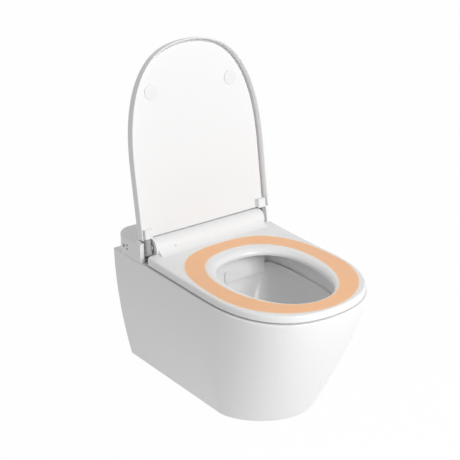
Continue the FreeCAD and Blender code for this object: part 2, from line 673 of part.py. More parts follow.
def seat_pieces():
    body = seat_body()
    zone = body.common(heated_zone_column()).cut(under_seat_top(RING_T))
    split = SEAT_Z0 + SEAT_BASE_T
    lower = box(-PAN_WIDTH, PAN_WIDTH, -PAN_LENGTH, 0, SEAT_Z0 - 1, split)
    base = body.common(lower)
    barrel, ramp = hinge_barrel()
    cap = body.cut([lower, zone]).fuse([barrel, ramp])
    bore = damper_bore()
    foil = heating_foil()
    sensor = seat_sensor()
    cap = cap.cut([bore, mirrored(bore), foil, sensor])
    save("seat_top", cap.removeSplitter())
    save("seat_base", base)
    save("heated_zone", zone)
    save("heating_foil", foil)
    save("presence_sensor", sensor)
    damper = rod((BARREL_HALF_LENGTH - DAMPER_INSET, HINGE_Y, HINGE_Z), (-1, 0, 0), DAMPER_R,
                 DAMPER_LENGTH)
    pin_hole = rod((BARREL_HALF_LENGTH, HINGE_Y, HINGE_Z), (-1, 0, 0), PIN_R + RUNNING,
                   PIN_IN_DAMPER + 2)
    save("soft_close_dampers", pair(damper.cut(pin_hole)))
    feet = []
    for x, y in SEAT_FEET:
        feet.append(rod((x, y, RIM_Z + SEAT_FOOT_GAP), (0, 0, 1), SEAT_FOOT_R,
                        SEAT_GAP - SEAT_FOOT_GAP))
    save("seat_buffers", Part.makeCompound(feet + [mirrored(f) for f in feet]))


def heating_foil():
    """The heating element, let into the underside of the seat's top shell."""
    margin = FOIL_INSET / 2
    outer = egg(RING_OUTER_HALF - FOIL_INSET, RING_OUTER_FRONT_Y + FOIL_INSET,
                RING_OUTER_REAR_Y - FOIL_INSET, RING_OUTER_WIDEST_Y, SEAT_Z0 + SEAT_BASE_T,
                *RING_OUTER_POWERS)
    inner = egg(RING_INNER_HALF + margin, RING_INNER_FRONT_Y - margin,
                RING_INNER_REAR_Y + margin, RING_INNER_WIDEST_Y, SEAT_Z0 + SEAT_BASE_T,
                *RING_INNER_POWERS)
    return slab(outer, FOIL_T).cut(slab(inner, FOIL_T))


def seat_sensor():
    start_y = HINGE_Y - BARREL_R + SENSOR_LENGTH + SENSOR_INSET
    return rod((SENSOR_X, start_y, HINGE_Z), (0, -1, 0), SENSOR_R, SENSOR_LENGTH)


seat_pieces()


# ---------------------------------------------------------------- lid, drawn closed
def lid_outline(z, inset=0.0, rear_y=LID_REAR_Y):
    return d_outline(LID_HALF_WIDTH - inset, LID_HALF_WIDTH - inset, rear_y, LID_TIP_Y + inset,
                     LID_NOSE - inset, LID_ROUNDNESS, z)


def lid_shell():
    """Outer shell: a tray with a rim, a rounded outer edge and an open rear below the panel."""
    shell = slab(lid_outline(LID_RIM_Z), LID_DEPTH)
    top_edges = [e for e in shell.Edges if e.BoundBox.ZMin > LID_TOP_Z - 0.1]
    shell = shell.makeFillet(LID_EDGE_R, top_edges)
    pocket = slab(lid_outline(LID_RIM_Z - 1, LID_WALL, LID_REAR_Y - LID_SKIN),
                  LID_DEPTH - LID_SKIN + 1)
    inside = LID_HALF_WIDTH - LID_WALL
    doorway = box(-inside, inside, LID_REAR_Y - LID_SKIN - 1, LID_REAR_Y + 1,
                  LID_RIM_Z - 1, PANEL_Z)
    return shell.cut([pocket, doorway])


def lug_block():
    """Block in the panel's rear corner that takes the knuckle's tongue."""
    return box(LUG_INNER, LID_HALF_WIDTH - LID_WALL,
               LID_REAR_Y - LUG_LENGTH, LID_REAR_Y, LID_RIM_Z + LUG_BELOW, PANEL_Z)


def knuckle():
    """Hinge knuckle: a rounded eye on the axis with a tongue that enters the lid."""
    eye = rod((KNUCKLE_INNER, HINGE_Y, HINGE_Z), (1, 0, 0), KNUCKLE_R,
              KNUCKLE_OUTER - KNUCKLE_INNER)
    arm = box(KNUCKLE_INNER, KNUCKLE_OUTER, LID_REAR_Y + KNUCKLE_GAP, HINGE_Y, LID_RIM_Z,
              HINGE_Z + KNUCKLE_R)
    below = box(KNUCKLE_INNER - 1, KNUCKLE_OUTER + 1, HINGE_Y - 2 * KNUCKLE_R,
                HINGE_Y + 2 * KNUCKLE_R, LID_RIM_Z - 2 * KNUCKLE_R, LID_RIM_Z)
    tongue = box(KNUCKLE_INNER + TONGUE_MARGIN, KNUCKLE_OUTER - TONGUE_MARGIN,
                 LID_REAR_Y - TONGUE_LENGTH, LID_REAR_Y + KNUCKLE_GAP,
                 LID_RIM_Z + TONGUE_BELOW, PANEL_Z - TONGUE_ABOVE)
    eye_bore = rod((KNUCKLE_INNER - 1, HINGE_Y, HINGE_Z), (1, 0, 0), PIN_R + RUNNING,
                   KNUCKLE_OUTER - KNUCKLE_INNER - KNUCKLE_CAP + 1)
    body = eye.fuse(arm).cut(below)
    body = body.removeSplitter().fuse(tongue)
    return body.cut(eye_bore), tongue


def buffer_places():
    return [(x, HINGE_Y - LID_BUFFER_S) for x in (LID_BUFFER_X, -LID_BUFFER_X)]


def lid_pieces():
    panel = slab(lid_outline(PANEL_Z, LID_WALL, LID_REAR_Y), LID_PANEL_T)
    panel = panel.cut(box(-PAN_WIDTH, PAN_WIDTH, LID_REAR_Y - LID_SKIN, LID_REAR_Y + 1,
                          PANEL_Z - 0.01, LID_TOP_Z))
    lug = lug_block()
    eye, tongue = knuckle()
    panel = panel.fuse([lug, mirrored(lug)]).cut([tongue, mirrored(tongue)])
    pads, seats = [], []
    for x, y in buffer_places():
        pad = rod((x, y, PANEL_Z - LID_BUFFER_T), (0, 0, 1), LID_BUFFER_R, LID_BUFFER_T)
        top = [e for e in pad.Edges if e.BoundBox.ZMax < PANEL_Z - LID_BUFFER_T + 0.1
               and len(e.Vertexes) == 1]
        stem = rod((x, y, PANEL_Z), (0, 0, 1), LID_BUFFER_STEM_R, LID_PANEL_T)
        pads.append(pad.makeChamfer(LID_BUFFER_CHAMFER, top).fuse(stem))
        seats.append(stem)
    panel = panel.cut(seats)
    save("lid_shell", lid_open(lid_shell()))
    save("lid_panel", lid_open(panel.removeSplitter()))
    save("lid_knuckles", lid_open(pair(eye)))
    save("lid_buffers", lid_open(Part.makeCompound(pads)))


# ---------------------------------------------------------------- housing of the wash unit
def housing_plan(z, inset, height):
    """Plan of the cover: rounded rear corners, and arms that reach forward at the sides."""
    half = PAN_WIDTH / 2.0 - inset
    back = HOUSING_BACK_Y - inset
    corner = HOUSING_CORNER_R - inset
    front = HOUSING_FRONT_Y + inset
    edges = [Part.LineSegment(V(-half, front, z), V(half, front, z)).toShape(),
             Part.LineSegment(V(half, front, z), V(half, back - corner, z)).toShape()]
    diagonal = corner * (1 - math.sqrt(0.5))
    edges.append(Part.Arc(V(half, back - corner, z), V(half - diagonal, back - diagonal, z),
                          V(half - corner, back, z)).toShape())
    edges.append(Part.LineSegment(V(half - corner, back, z), V(corner - half, back, z)).toShape())
    edges.append(Part.Arc(V(corner - half, back, z), V(diagonal - half, back - diagonal, z),
                          V(-half, back - corner, z)).toShape())
    edges.append(Part.LineSegment(V(-half, back - corner, z), V(-half, front, z)).toShape())
    return slab(Part.Wire(edges), height)


def arm_block():
    return box(ARM_INNER, PAN_WIDTH / 2, ARM_FRONT_Y, HOUSING_FRONT_Y + HOUSING_WALL,
               RIM_Z + SHELL_GAP, HOUSING_TOP)


def bracket_slot():
    return box(BRACKET_INNER - SLOT_PLAY, BRACKET_INNER + BRACKET_T + SLOT_PLAY,
               HOUSING_FRONT_Y - 1, HOUSING_FRONT_Y + HOUSING_WALL + 1, RIM_Z - 1,
               HINGE_Z + SLOT_ABOVE_AXIS)


def housing_cover():
    """One-piece cover: rounded outside, hollow inside, arms beside the hinge."""
    floor = RIM_Z + SHELL_GAP
    arm = arm_block()
    outer = housing_plan(floor, 0.0, HOUSING_TOP - floor).fuse([arm, mirrored(arm)])
    outer = outer.removeSplitter()
    rim = [e for e in outer.Edges if e.BoundBox.ZMin > HOUSING_TOP - 0.1
           and (e.BoundBox.YMax > HOUSING_FRONT_Y + 1)]
    outer = outer.makeFillet(HOUSING_EDGE_R, rim)
    inner = housing_plan(floor - 1, HOUSING_WALL, HOUSING_TOP - HOUSING_WALL - floor + 1)
    slot = bracket_slot()
    cuts = [inner, slot, mirrored(slot)]
    for name, y, z, radius in BUTTONS:
        cuts.append(rod((-PAN_WIDTH / 2 - 1, y, z), (1, 0, 0), radius + BUTTON_GAP,
                        HOUSING_WALL + 2))
    for x, radius in ((SUPPLY_X, SUPPLY_R + SUPPLY_PLAY), (GLAND_X, GLAND_R + GLAND_PLAY)):
        cuts.append(rod((x, HOUSING_BACK_Y - 3 * HOUSING_WALL, SUPPLY_Z), (0, 1, 0), radius,
                        4 * HOUSING_WALL))
    return outer.cut(cuts)


def mounting_plate():
    """Steel plate bolted to the ceramic deck; it carries the brackets and the wash unit."""
    plate = box(-PLATE_HALF, PLATE_HALF, PLATE_FRONT_Y, PLATE_BACK_Y, RIM_Z, RIM_Z + PLATE_T)
    half_well = WELL_HALF_WIDTH + PLATE_WELL_PLAY
    well = box(-half_well, half_well, PLATE_FRONT_Y - 1, PLATE_WELL_REAR_Y, RIM_Z - 1,
               RIM_Z + PLATE_T + 1)
    holes = [well]
    for x in (SEAT_BOLT_SPACING / 2, -SEAT_BOLT_SPACING / 2):
        holes.append(rod((x, SEAT_BOLT_Y, RIM_Z - 1), (0, 0, 1), SEAT_BOLT_R + 0.5, PLATE_T + 2))
    for x in (STUD_SPACING / 2, -STUD_SPACING / 2):
        holes.append(rod((x, CLAMP_BOLT_Y, RIM_Z - 1), (0, 0, 1), CLAMP_ACCESS_R, PLATE_T + 2))
    return plate.cut(holes)


def hinge_bracket():
    """Upright cheek that carries the hinge pin in front of the cover."""
    x0, x1 = BRACKET_INNER, BRACKET_INNER + BRACKET_T
    base = RIM_Z + PLATE_T
    foot_top = base + BRACKET_FOOT_T
    eye = rod((x0, HINGE_Y, HINGE_Z), (1, 0, 0), BRACKET_EYE_R, BRACKET_T)
    half_eye = BRACKET_EYE_R / 2
    arm = side_prism([(HINGE_Y + BRACKET_EYE_R - 1, HINGE_Z - half_eye),
                      (HINGE_Y, HINGE_Z - BRACKET_EYE_R),
                      (HOUSING_FRONT_Y - BRACKET_RIB, base), (BRACKET_END_Y, base),
                      (BRACKET_END_Y, foot_top + BRACKET_RIB),
                      (HOUSING_FRONT_Y + BRACKET_EYE_R, HINGE_Z + half_eye / 2),
                      (HINGE_Y, HINGE_Z + BRACKET_EYE_R)], x0, x1)
    foot = box(x0 - BRACKET_FOOT_WIDTH, x0, HOUSING_FRONT_Y + BRACKET_RIB, BRACKET_END_Y, base,
               foot_top)
    return eye.fuse([arm, foot]).cut(rod((x0 - 1, HINGE_Y, HINGE_Z), (1, 0, 0), PIN_R,
                                         BRACKET_T + 2)).removeSplitter()


def housing_pieces():
    save("housing_cover", housing_cover())
    save("mounting_plate", mounting_plate())
    save("hinge_brackets", pair(hinge_bracket()))
    pin_end = KNUCKLE_INNER + PIN_IN_KNUCKLE
    pin = rod((BARREL_HALF_LENGTH - PIN_IN_DAMPER, HINGE_Y, HINGE_Z), (1, 0, 0), PIN_R,
              pin_end - BARREL_HALF_LENGTH + PIN_IN_DAMPER)
    save("hinge_pins", pair(pin))
    top = RIM_Z + PLATE_T
    over = top + 2 * TRAY_T
    tray = housing_plan(top, HOUSING_WALL + SHELL_GAP, TRAY_T)
    half_well = WELL_HALF_WIDTH + PLATE_WELL_PLAY
    cuts = [box(-half_well, half_well, HOUSING_FRONT_Y - 1, PLATE_WELL_REAR_Y, RIM_Z, over)]
    for side in (1, -1):
        foot = sorted((side * (BRACKET_INNER - BRACKET_FOOT_WIDTH - 1.5),
                       side * (BRACKET_INNER + BRACKET_T + 1.5)))
        cuts.append(box(foot[0], foot[1], HOUSING_FRONT_Y - 1, BRACKET_END_Y + 1, RIM_Z, over))
        cuts.append(rod((side * SEAT_BOLT_SPACING / 2, SEAT_BOLT_Y, RIM_Z), (0, 0, 1),
                        WASHER_R + 1, over - RIM_Z))
        cuts.append(rod((side * STUD_SPACING / 2, CLAMP_BOLT_Y, RIM_Z), (0, 0, 1),
                        CLAMP_ACCESS_R, over - RIM_Z))
    save("housing_tray", tray.cut(cuts))
    bolts, nuts, washers = [], [], []
    washer_z = RECESS_TOP - UNDER_WASHER_T
    shank_z = RECESS_TOP - BOLT_BELOW_RECESS
    for side in (1, -1):
        x = side * SEAT_BOLT_SPACING / 2
        head = rod((x, SEAT_BOLT_Y, top), (0, 0, 1), WASHER_R, BOLT_FLANGE_T)
        crown = rod((x, SEAT_BOLT_Y, top + BOLT_FLANGE_T), (0, 0, 1), BOLT_HEAD_R, BOLT_HEAD_T)
        socket = rod((x, SEAT_BOLT_Y, top + BOLT_FLANGE_T + HEX_SOCKET_FLOOR), (0, 0, 1),
                     HEX_SOCKET_R, BOLT_HEAD_T)
        shank = rod((x, SEAT_BOLT_Y, shank_z), (0, 0, 1), SEAT_BOLT_R, top - shank_z)
        bolts.append(fused(head, crown, shank).cut(socket))
        washer = rod((x, SEAT_BOLT_Y, washer_z), (0, 0, 1), WASHER_R, UNDER_WASHER_T)
        washers.append(washer.cut(rod((x, SEAT_BOLT_Y, washer_z), (0, 0, 1), SEAT_BOLT_R,
                                      UNDER_WASHER_T)))
        nuts.append(hex_nut((x, SEAT_BOLT_Y, washer_z - NUT_T), NUT_FLATS, NUT_T, SEAT_BOLT_R))
    save("seat_bolts", Part.makeCompound(bolts))
    save("seat_bolt_washers", Part.makeCompound(washers))
    save("seat_bolt_nuts", Part.makeCompound(nuts))


def wall_fixings():
    half = STUD_SPACING / 2
    sleeve = rod((half, 0, 0), (0, -1, 0), SLEEVE_R, SLEEVE_LENGTH)
    flat = rod((half, CLAMP_BOLT_Y, 0), (0, 0, 1), SEAT_BOLT_R, SLEEVE_R + 1)
    sleeve = sleeve.cut([rod((half, 1, 0), (0, -1, 0), STUD_HOLE_R, SLEEVE_LENGTH + 2), flat])
    save("fixing_sleeves", pair(sleeve))
    end_z = STUD_HOLE_R + CLAMP_END_GAP
    clamp = rod((half, CLAMP_BOLT_Y, end_z), (0, 0, 1), SEAT_BOLT_R, RIM_Z - end_z)
    clamp = clamp.fuse(rod((half, CLAMP_BOLT_Y, RIM_Z), (0, 0, 1), CLAMP_HEAD_R, CLAMP_HEAD_T))
    clamp = clamp.cut(rod((half, CLAMP_BOLT_Y, RIM_Z + HEX_SOCKET_FLOOR), (0, 0, 1),
                          HEX_SOCKET_R, CLAMP_HEAD_T))
    save("clamp_screws", pair(clamp))
    seal = rod((0, 0, INLET_ABOVE_STUDS), (0, -1, 0), INLET_BORE_R, SEAL_LENGTH)
    seal = seal.cut(rod((0, 1, INLET_ABOVE_STUDS), (0, -1, 0), INLET_PIPE_R, SEAL_LENGTH + 2))
    save("flush_inlet_seal", seal)


# ---------------------------------------------------------------- wash wand and its drive
def wand_frame(shape):
    """Drawn along -Y from the mesh point with Z across the wand, then sloped into place."""
    moved = shape.copy()
    moved.rotate(V(0, 0, 0), V(1, 0, 0), WAND_SLOPE_DEG)
    moved.translate(V(0, MESH_Y, wand_axis_z(MESH_Y)))
    return moved


def along(y):
    """Distance along the wand from the mesh point for a distance from the wall."""
    return (y - MESH_Y) / math.cos(math.radians(WAND_SLOPE_DEG))


def rack():
    """Straight-flanked teeth on a bar; a tooth gap is centred on the mesh point."""
    pitch = math.pi * RACK_MODULE
    root = RACK_PITCH_ABOVE - RACK_DEDENDUM * RACK_MODULE
    tip = RACK_PITCH_ABOVE + RACK_MODULE
    slope = math.tan(math.radians(PRESSURE_DEG))
    half_at_pitch = pitch / 4 - TOOTH_PLAY
    root_half = half_at_pitch + (RACK_PITCH_ABOVE - root) * slope
    tip_half = half_at_pitch - (tip - RACK_PITCH_ABOVE) * slope
    front, rear = along(RACK_FRONT_Y), along(WAND_REAR_Y)
    first = math.ceil((front + root_half) / pitch - 0.5)
    last = math.floor((rear - root_half) / pitch - 0.5)
    points = [(front, WAND_FLAT), (front, root)]
    for i in range(first, last + 1):
        centre = (i + 0.5) * pitch
        points += [(centre - root_half, root), (centre - tip_half, tip),
                   (centre + tip_half, tip), (centre + root_half, root)]
    points += [(rear, root), (rear, WAND_FLAT)]
    return side_prism(points, -PINION_WIDTH / 2, PINION_WIDTH / 2)


def involute_flank(base_r, from_r, to_r, steps=4):
    """(radius, angle) pairs along an involute, its angle measured from the base circle."""
    flank = []
    for i in range(steps + 1):
        radius = from_r + (to_r - from_r) * i / steps
        roll = math.sqrt(max((radius / base_r) ** 2 - 1.0, 0.0))
        flank.append((radius, roll - math.atan(roll)))
    return flank


def pinion():
    """Twelve involute teeth; one tooth points straight at the rack's gap."""
    pitch_r = RACK_MODULE * PINION_TEETH / 2
    pressure = math.radians(PRESSURE_DEG)
    base_r = pitch_r * math.cos(pressure)
    tip_r = pitch_r + RACK_MODULE * PINION_ADDENDUM
    root_r = pitch_r - RACK_MODULE * PINION_DEDENDUM
    pitch_roll = math.tan(pressure) - pressure
    half = math.pi / 2 / PINION_TEETH - TOOTH_PLAY / pitch_r + pitch_roll
    flank = involute_flank(base_r, base_r, tip_r)
    centre_z = RACK_PITCH_ABOVE + pitch_r
    points = []
    for tooth in range(PINION_TEETH):
        middle = -math.pi / 2 + 2 * math.pi * tooth / PINION_TEETH
        side = [(root_r, 0.0)] + flank
        rising = [(r, middle - half + a) for r, a in side]
        falling = [(r, middle + half - a) for r, a in reversed(side)]
        points += [(r * math.cos(a), centre_z + r * math.sin(a)) for r, a in rising + falling]
    gear = side_prism(points, -PINION_WIDTH / 2, PINION_WIDTH / 2)
    shaft = rod((-PINION_WIDTH / 2, 0, centre_z), (1, 0, 0), SHAFT_R,
                PINION_WIDTH + MOTOR_GAP + MOTOR_SHAFT_IN)
    return gear.fuse(shaft).removeSplitter()


def wand_pieces():
    rear, front = along(WAND_REAR_Y), along(WAND_EXIT_Y)
    exit_z = wand_axis_z(WAND_EXIT_Y)
    tube_length = rear - front - WAND_TIP_LENGTH
    tube = rod((0, rear, 0), (0, -1, 0), WAND_R, tube_length)
    flat = box(-WAND_R, WAND_R, front - 2 * WAND_R, rear + 1, WAND_FLAT, WAND_R + 1)
    channels = [rod((x, rear + 1, -CHANNEL_BELOW), (0, -1, 0), CHANNEL_R, tube_length + 2)
                for x in (-CHANNEL_X, CHANNEL_X)]
    save("wand_tube", wand_frame(tube.cut([flat] + channels)))
    head = rod((0, front + WAND_TIP_LENGTH, 0), (0, -1, 0), WAND_R, WAND_TIP_LENGTH + WAND_R)
    jets = [rod((x, front + y, 0), (0, 0, 1), JET_R, 2 * WAND_R) for x, y in JETS]
    beyond = box(-WAND_R, WAND_R, WAND_EXIT_Y - 4 * WAND_R, WAND_EXIT_Y - COVER_GAP,
                 exit_z - 4 * WAND_R, RIM_Z)
    save("wand_head", wand_frame(head.cut([flat] + jets)).cut(beyond))
    save("wand_rack", wand_frame(rack()))
    cover = box(-COVER_HALF, COVER_HALF, WAND_EXIT_Y - COVER_GAP - COVER_T,
                WAND_EXIT_Y - COVER_GAP, exit_z - COVER_HALF,
                exit_z + COVER_HALF + COVER_EXTRA_TOP)
    corners = [e for e in cover.Edges if e.BoundBox.YLength > COVER_T - 0.1]
    save("wand_cover", cover.makeFillet(COVER_CORNER_R, corners))


def wand_drive():
    """The wand's guide with its saddle, the pinion, and the motor in its cradle."""
    save("drive_pinion", wand_frame(pinion()))
    rear, front = along(WAND_REAR_Y - GUIDE_REAR_PLAY), along(WAND_EXIT_Y)
    length = rear - front
    guide = rod((0, rear, 0), (0, -1, 0), GUIDE_R, length)
    guide = guide.cut([rod((0, rear + 1, 0), (0, -1, 0), GUIDE_BORE_R, length + 2),
                       box(-RACK_SLOT, RACK_SLOT, front - 1, rear + 1, 0, GUIDE_R + 1)])
    saddle_rear = rear - SADDLE_BACK
    saddle = box(-WELL_HALF_WIDTH, WELL_HALF_WIDTH, saddle_rear - SADDLE_T, saddle_rear,
                 -GUIDE_R - 1.0, SADDLE_TOP)
    saddle = saddle.cut(rod((0, rear, 0), (0, -1, 0), GUIDE_R, length))
    centre_z = RACK_PITCH_ABOVE + RACK_MODULE * PINION_TEETH / 2
    motor_x = PINION_WIDTH / 2 + MOTOR_GAP
    motor = rod((motor_x, 0, centre_z), (1, 0, 0), MOTOR_R, MOTOR_LENGTH)
    beyond = box(-2 * GUIDE_R, 2 * GUIDE_R, WAND_EXIT_Y - 4 * GUIDE_R, WAND_EXIT_Y + SHIELD_T,
                 wand_axis_z(WAND_EXIT_Y) - 4 * GUIDE_R, RIM_Z)
    guide = guide.fuse(saddle).removeSplitter().cut(motor)
    save("wand_guide", wand_frame(guide).cut(beyond))
    cradle = box(motor_x + 1.0, motor_x + 1.0 + CRADLE_WIDTH, -MOTOR_R, MOTOR_R, CRADLE_BOTTOM,
                 centre_z)
    cradle = cradle.cut([motor, rod((0, rear, 0), (0, -1, 0), GUIDE_R, length)])
    save("motor_cradle", wand_frame(cradle))
    socket = rod((motor_x - 1, 0, centre_z), (1, 0, 0), SHAFT_R + RUNNING, MOTOR_SOCKET)
    save("wand_motor", wand_frame(motor.cut(socket)))


def nozzle_shield():
    """Panel at the rear of the bowl with the wand's opening, and a foot into the wand's channel."""
    top = RIM_Z - SHIELD_TOP_BELOW_RIM
    bottom = RIM_Z - SHIELD_BOTTOM_BELOW_RIM
    back = WAND_EXIT_Y + SHIELD_T
    panel = box(-SHIELD_HALF_WIDTH, SHIELD_HALF_WIDTH, WAND_EXIT_Y, back, bottom, top)
    corners = [e for e in panel.Edges if e.BoundBox.YLength > SHIELD_T - 0.1]
    panel = panel.makeFillet(SHIELD_CORNER_R, corners)
    half = WELL_HALF_WIDTH - WELL_PLAY
    foot = box(-half, half, back, back + SHIELD_FOOT_LENGTH, top - SHIELD_FOOT_T, top)
    exit_y = along(WAND_EXIT_Y)
    reach = 3 * SHIELD_T
    hole = wand_frame(rod((0, exit_y + 2 * reach, 0), (0, -1, 0), GUIDE_BORE_R, 4 * reach))
    slot = wand_frame(box(-RACK_SLOT, RACK_SLOT, exit_y - reach, exit_y + reach + 2, 0,
                          RACK_PITCH_ABOVE + RACK_MODULE + SLOT_PLAY))
    lamp_z = top - NIGHT_LIGHT_DROP
    lamp = rod((NIGHT_LIGHT_X, WAND_EXIT_Y - 1, lamp_z), (0, 1, 0), NIGHT_LIGHT_R, SHIELD_T + 2)
    shield = panel.fuse(foot).cut([hole, slot, lamp])
    save("nozzle_shield", shield.removeSplitter())
    save("night_light", rod((NIGHT_LIGHT_X, WAND_EXIT_Y, lamp_z), (0, 1, 0), NIGHT_LIGHT_R,
                            NIGHT_LIGHT_LENGTH))


def well_cover():
    """Lid over the wand's channel, between the bowl and the housing."""
    half = WELL_HALF_WIDTH - WELL_PLAY
    top = RIM_Z - WELL_COVER_DROP
    plate = box(-half, half, WELL_COVER_FRONT_Y, HOUSING_FRONT_Y - WELL_PLAY,
                top - WELL_COVER_T, top)
    lip = box(-half, half, WELL_COVER_FRONT_Y, WELL_COVER_FRONT_Y + WELL_COVER_T,
              top - WELL_COVER_DEPTH, top)
    save("well_cover", plate.fuse(lip).removeSplitter())


# ---------------------------------------------------------------- inside the cover
def hose(points, radius, bend):
    """Straight runs joined by tangent arcs, round in section."""
    edges, start = [], points[0]
    for before, corner, after in zip(points, points[1:], points[2:]):
        into, out = (corner - before).normalize(), (after - corner).normalize()
        turn = into.getAngle(out)
        trim = bend * math.tan(turn / 2)
        arc_start, arc_end = corner - into * trim, corner + out * trim
        middle_way = (out - into).normalize()
        middle = corner + middle_way * (bend / math.cos(turn / 2) - bend)
        edges.append(Part.LineSegment(start, arc_start).toShape())
        edges.append(Part.Arc(arc_start, middle, arc_end).toShape())
        start = arc_end
    edges.append(Part.LineSegment(start, points[-1]).toShape())
    direction = (points[1] - points[0]).normalize()
    ring = Part.Wire(Part.makeCircle(radius, points[0], direction))
    return Part.Wire(edges).makePipeShell([ring], True, False)


def water_pieces(floor):
    """Heater tank, inlet valve with its connector, pump, and the two hoses."""
    port_z = floor + PORT_ABOVE_FLOOR
    tank = box(TANK_OUTER_X, TANK_INNER_X, TANK_FRONT_Y, TANK_BACK_Y, floor, floor + TANK_HEIGHT)
    uprights = [e for e in tank.Edges if e.BoundBox.ZLength > TANK_HEIGHT - 1]
    ports = [rod((TANK_OUTER_X, TANK_PORT_Y, port_z), (-1, 0, 0), PORT_R, PORT_LENGTH),
             rod((TANK_INNER_X, TANK_PORT_Y, port_z), (1, 0, 0), PORT_R, PORT_LENGTH)]
    save("instant_heater", tank.makeFillet(TANK_EDGE_R, uprights).fuse(ports))
    valve_front = SUPPLY_VALVE_Y - VALVE_LENGTH
    block = box(SUPPLY_X - VALVE_HALF, SUPPLY_X + VALVE_HALF, valve_front, SUPPLY_VALVE_Y, floor,
                floor + VALVE_HEIGHT)
    coil = rod((SUPPLY_X, SUPPLY_VALVE_Y - VALVE_LENGTH / 2, floor + VALVE_HEIGHT), (0, 0, 1),
               COIL_R, COIL_HEIGHT)
    outlet = rod((SUPPLY_X, valve_front, port_z), (0, -1, 0), PORT_R, PORT_LENGTH)
    save("solenoid_valve", fused(block, coil, outlet))
    nipple = rod((SUPPLY_X, SUPPLY_VALVE_Y, SUPPLY_Z), (0, 1, 0), SUPPLY_R,
                 SUPPLY_END_Y - SUPPLY_VALVE_Y)
    waterway = rod((SUPPLY_X, SUPPLY_VALVE_Y - 1, SUPPLY_Z), (0, 1, 0), WATERWAY_R,
                   SUPPLY_END_Y - SUPPLY_VALVE_Y + 2)
    save("supply_connector", nipple.cut(waterway))
    pump_z = floor + PUMP_R
    body = rod((PUMP_X, PUMP_Y, pump_z), (1, 0, 0), PUMP_R, PUMP_LENGTH)
    start, end, half, height = PUMP_FOOT
    foot = box(PUMP_X + start, PUMP_X + end, PUMP_Y - half, PUMP_Y + half, floor, floor + height)
    port = rod((PUMP_X, PUMP_Y, pump_z), (-1, 0, 0), PORT_R, PUMP_PORT_LENGTH)
    save("water_pump", fused(body, foot, port))
    save("valve_hose", hose([V(SUPPLY_X, valve_front - PORT_LENGTH, port_z),
                             V(SUPPLY_X, TANK_PORT_Y, port_z),
                             V(TANK_OUTER_X - PORT_LENGTH, TANK_PORT_Y, port_z)],
                            HOSE_R, VALVE_HOSE_BEND))
    pump_port_x = PUMP_X - PUMP_PORT_LENGTH
    save("pump_hose", hose([V(TANK_INNER_X + PORT_LENGTH, TANK_PORT_Y, port_z),
                            V(pump_port_x - 40.0, TANK_PORT_Y, port_z),
                            V(pump_port_x - 14.0, PUMP_Y, pump_z),
                            V(pump_port_x, PUMP_Y, pump_z)], HOSE_R, PUMP_HOSE_BEND))


def electric_pieces(floor):
    """Cable gland, and the control board on its posts."""
    wall_y = HOUSING_BACK_Y - HOUSING_WALL - GLAND_FLANGE
    flange = rod((GLAND_X, wall_y, SUPPLY_Z), (0, 1, 0), GLAND_R + GLAND_FLANGE, GLAND_FLANGE)
    neck = rod((GLAND_X, wall_y, SUPPLY_Z), (0, 1, 0), GLAND_R, HOUSING_WALL + GLAND_FLANGE + 1)
    cable_way = rod((GLAND_X, wall_y - 1, SUPPLY_Z), (0, 1, 0), GLAND_BORE_R, 4 * GLAND_FLANGE)
    save("power_gland", fused(flange, neck).cut(cable_way))
    board_z = floor + POST_HEIGHT
    top = board_z + BOARD_T
    end_x, end_y = BOARD_X + BOARD_WIDTH, BOARD_FRONT_Y + BOARD_LENGTH
    board = box(BOARD_X, end_x, BOARD_FRONT_Y, end_y, board_z, top)
    transformer = box(BOARD_X + 4, BOARD_X + 18, BOARD_FRONT_Y + 6, BOARD_FRONT_Y + 26, top,
                      top + 13.4)
    chip = box(end_x - 18, end_x - 6, end_y - 28, end_y - 14, top, top + 3.4)
    capacitor = rod((BOARD_X + 10, end_y - 10, top), (0, 0, 1), 5.0, 16.0)
    save("control_board", board.fuse([transformer, chip, capacitor]).removeSplitter())
    posts = [rod((x, y, floor), (0, 0, 1), POST_R, POST_HEIGHT)
             for x in (BOARD_X + POST_INSET, end_x - POST_INSET)
             for y in (BOARD_FRONT_Y + POST_INSET, end_y - POST_INSET)]
    save("board_posts", Part.makeCompound(posts))


def buttons():
    """Three push buttons in the cover's side, and the board with their switches."""
    side_x = -PAN_WIDTH / 2
    for name, y, z, radius in BUTTONS:
        cap = rod((side_x - BUTTON_PROUD, y, z), (1, 0, 0), radius, BUTTON_DEPTH)
        flange = rod((side_x + HOUSING_WALL + BUTTON_PLAY, y, z), (1, 0, 0),
                     radius + BUTTON_FLANGE, BUTTON_FLANGE_T)
        save(name, cap.fuse(flange).removeSplitter())
    board_x = side_x - BUTTON_PROUD + BUTTON_DEPTH + BUTTON_TRAVEL + SWITCH_GAP
    board = box(board_x, board_x + BOARD_T, BUTTON_BOARD_Y[0], BUTTON_BOARD_Y[1],
                RIM_Z + PLATE_T + TRAY_T, BUTTON_BOARD_TOP)
    switches = [box(board_x - SWITCH_T, board_x, y - SWITCH_HALF, y + SWITCH_HALF,
                    z - SWITCH_HALF, z + SWITCH_HALF) for name, y, z, radius in BUTTONS]
    save("button_board", board.fuse(switches).removeSplitter())


lid_pieces()
housing_pieces()
wall_fixings()
wand_pieces()
wand_drive()
nozzle_shield()
well_cover()
water_pieces(RIM_Z + PLATE_T + TRAY_T)
electric_pieces(RIM_Z + PLATE_T + TRAY_T)
buttons()
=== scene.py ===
"""Looks of the wall-hung shower toilet: materials, fine pieces, camera and lights, in metres."""
import json
import math

import bmesh
import bpy
from mathutils import Matrix, Vector


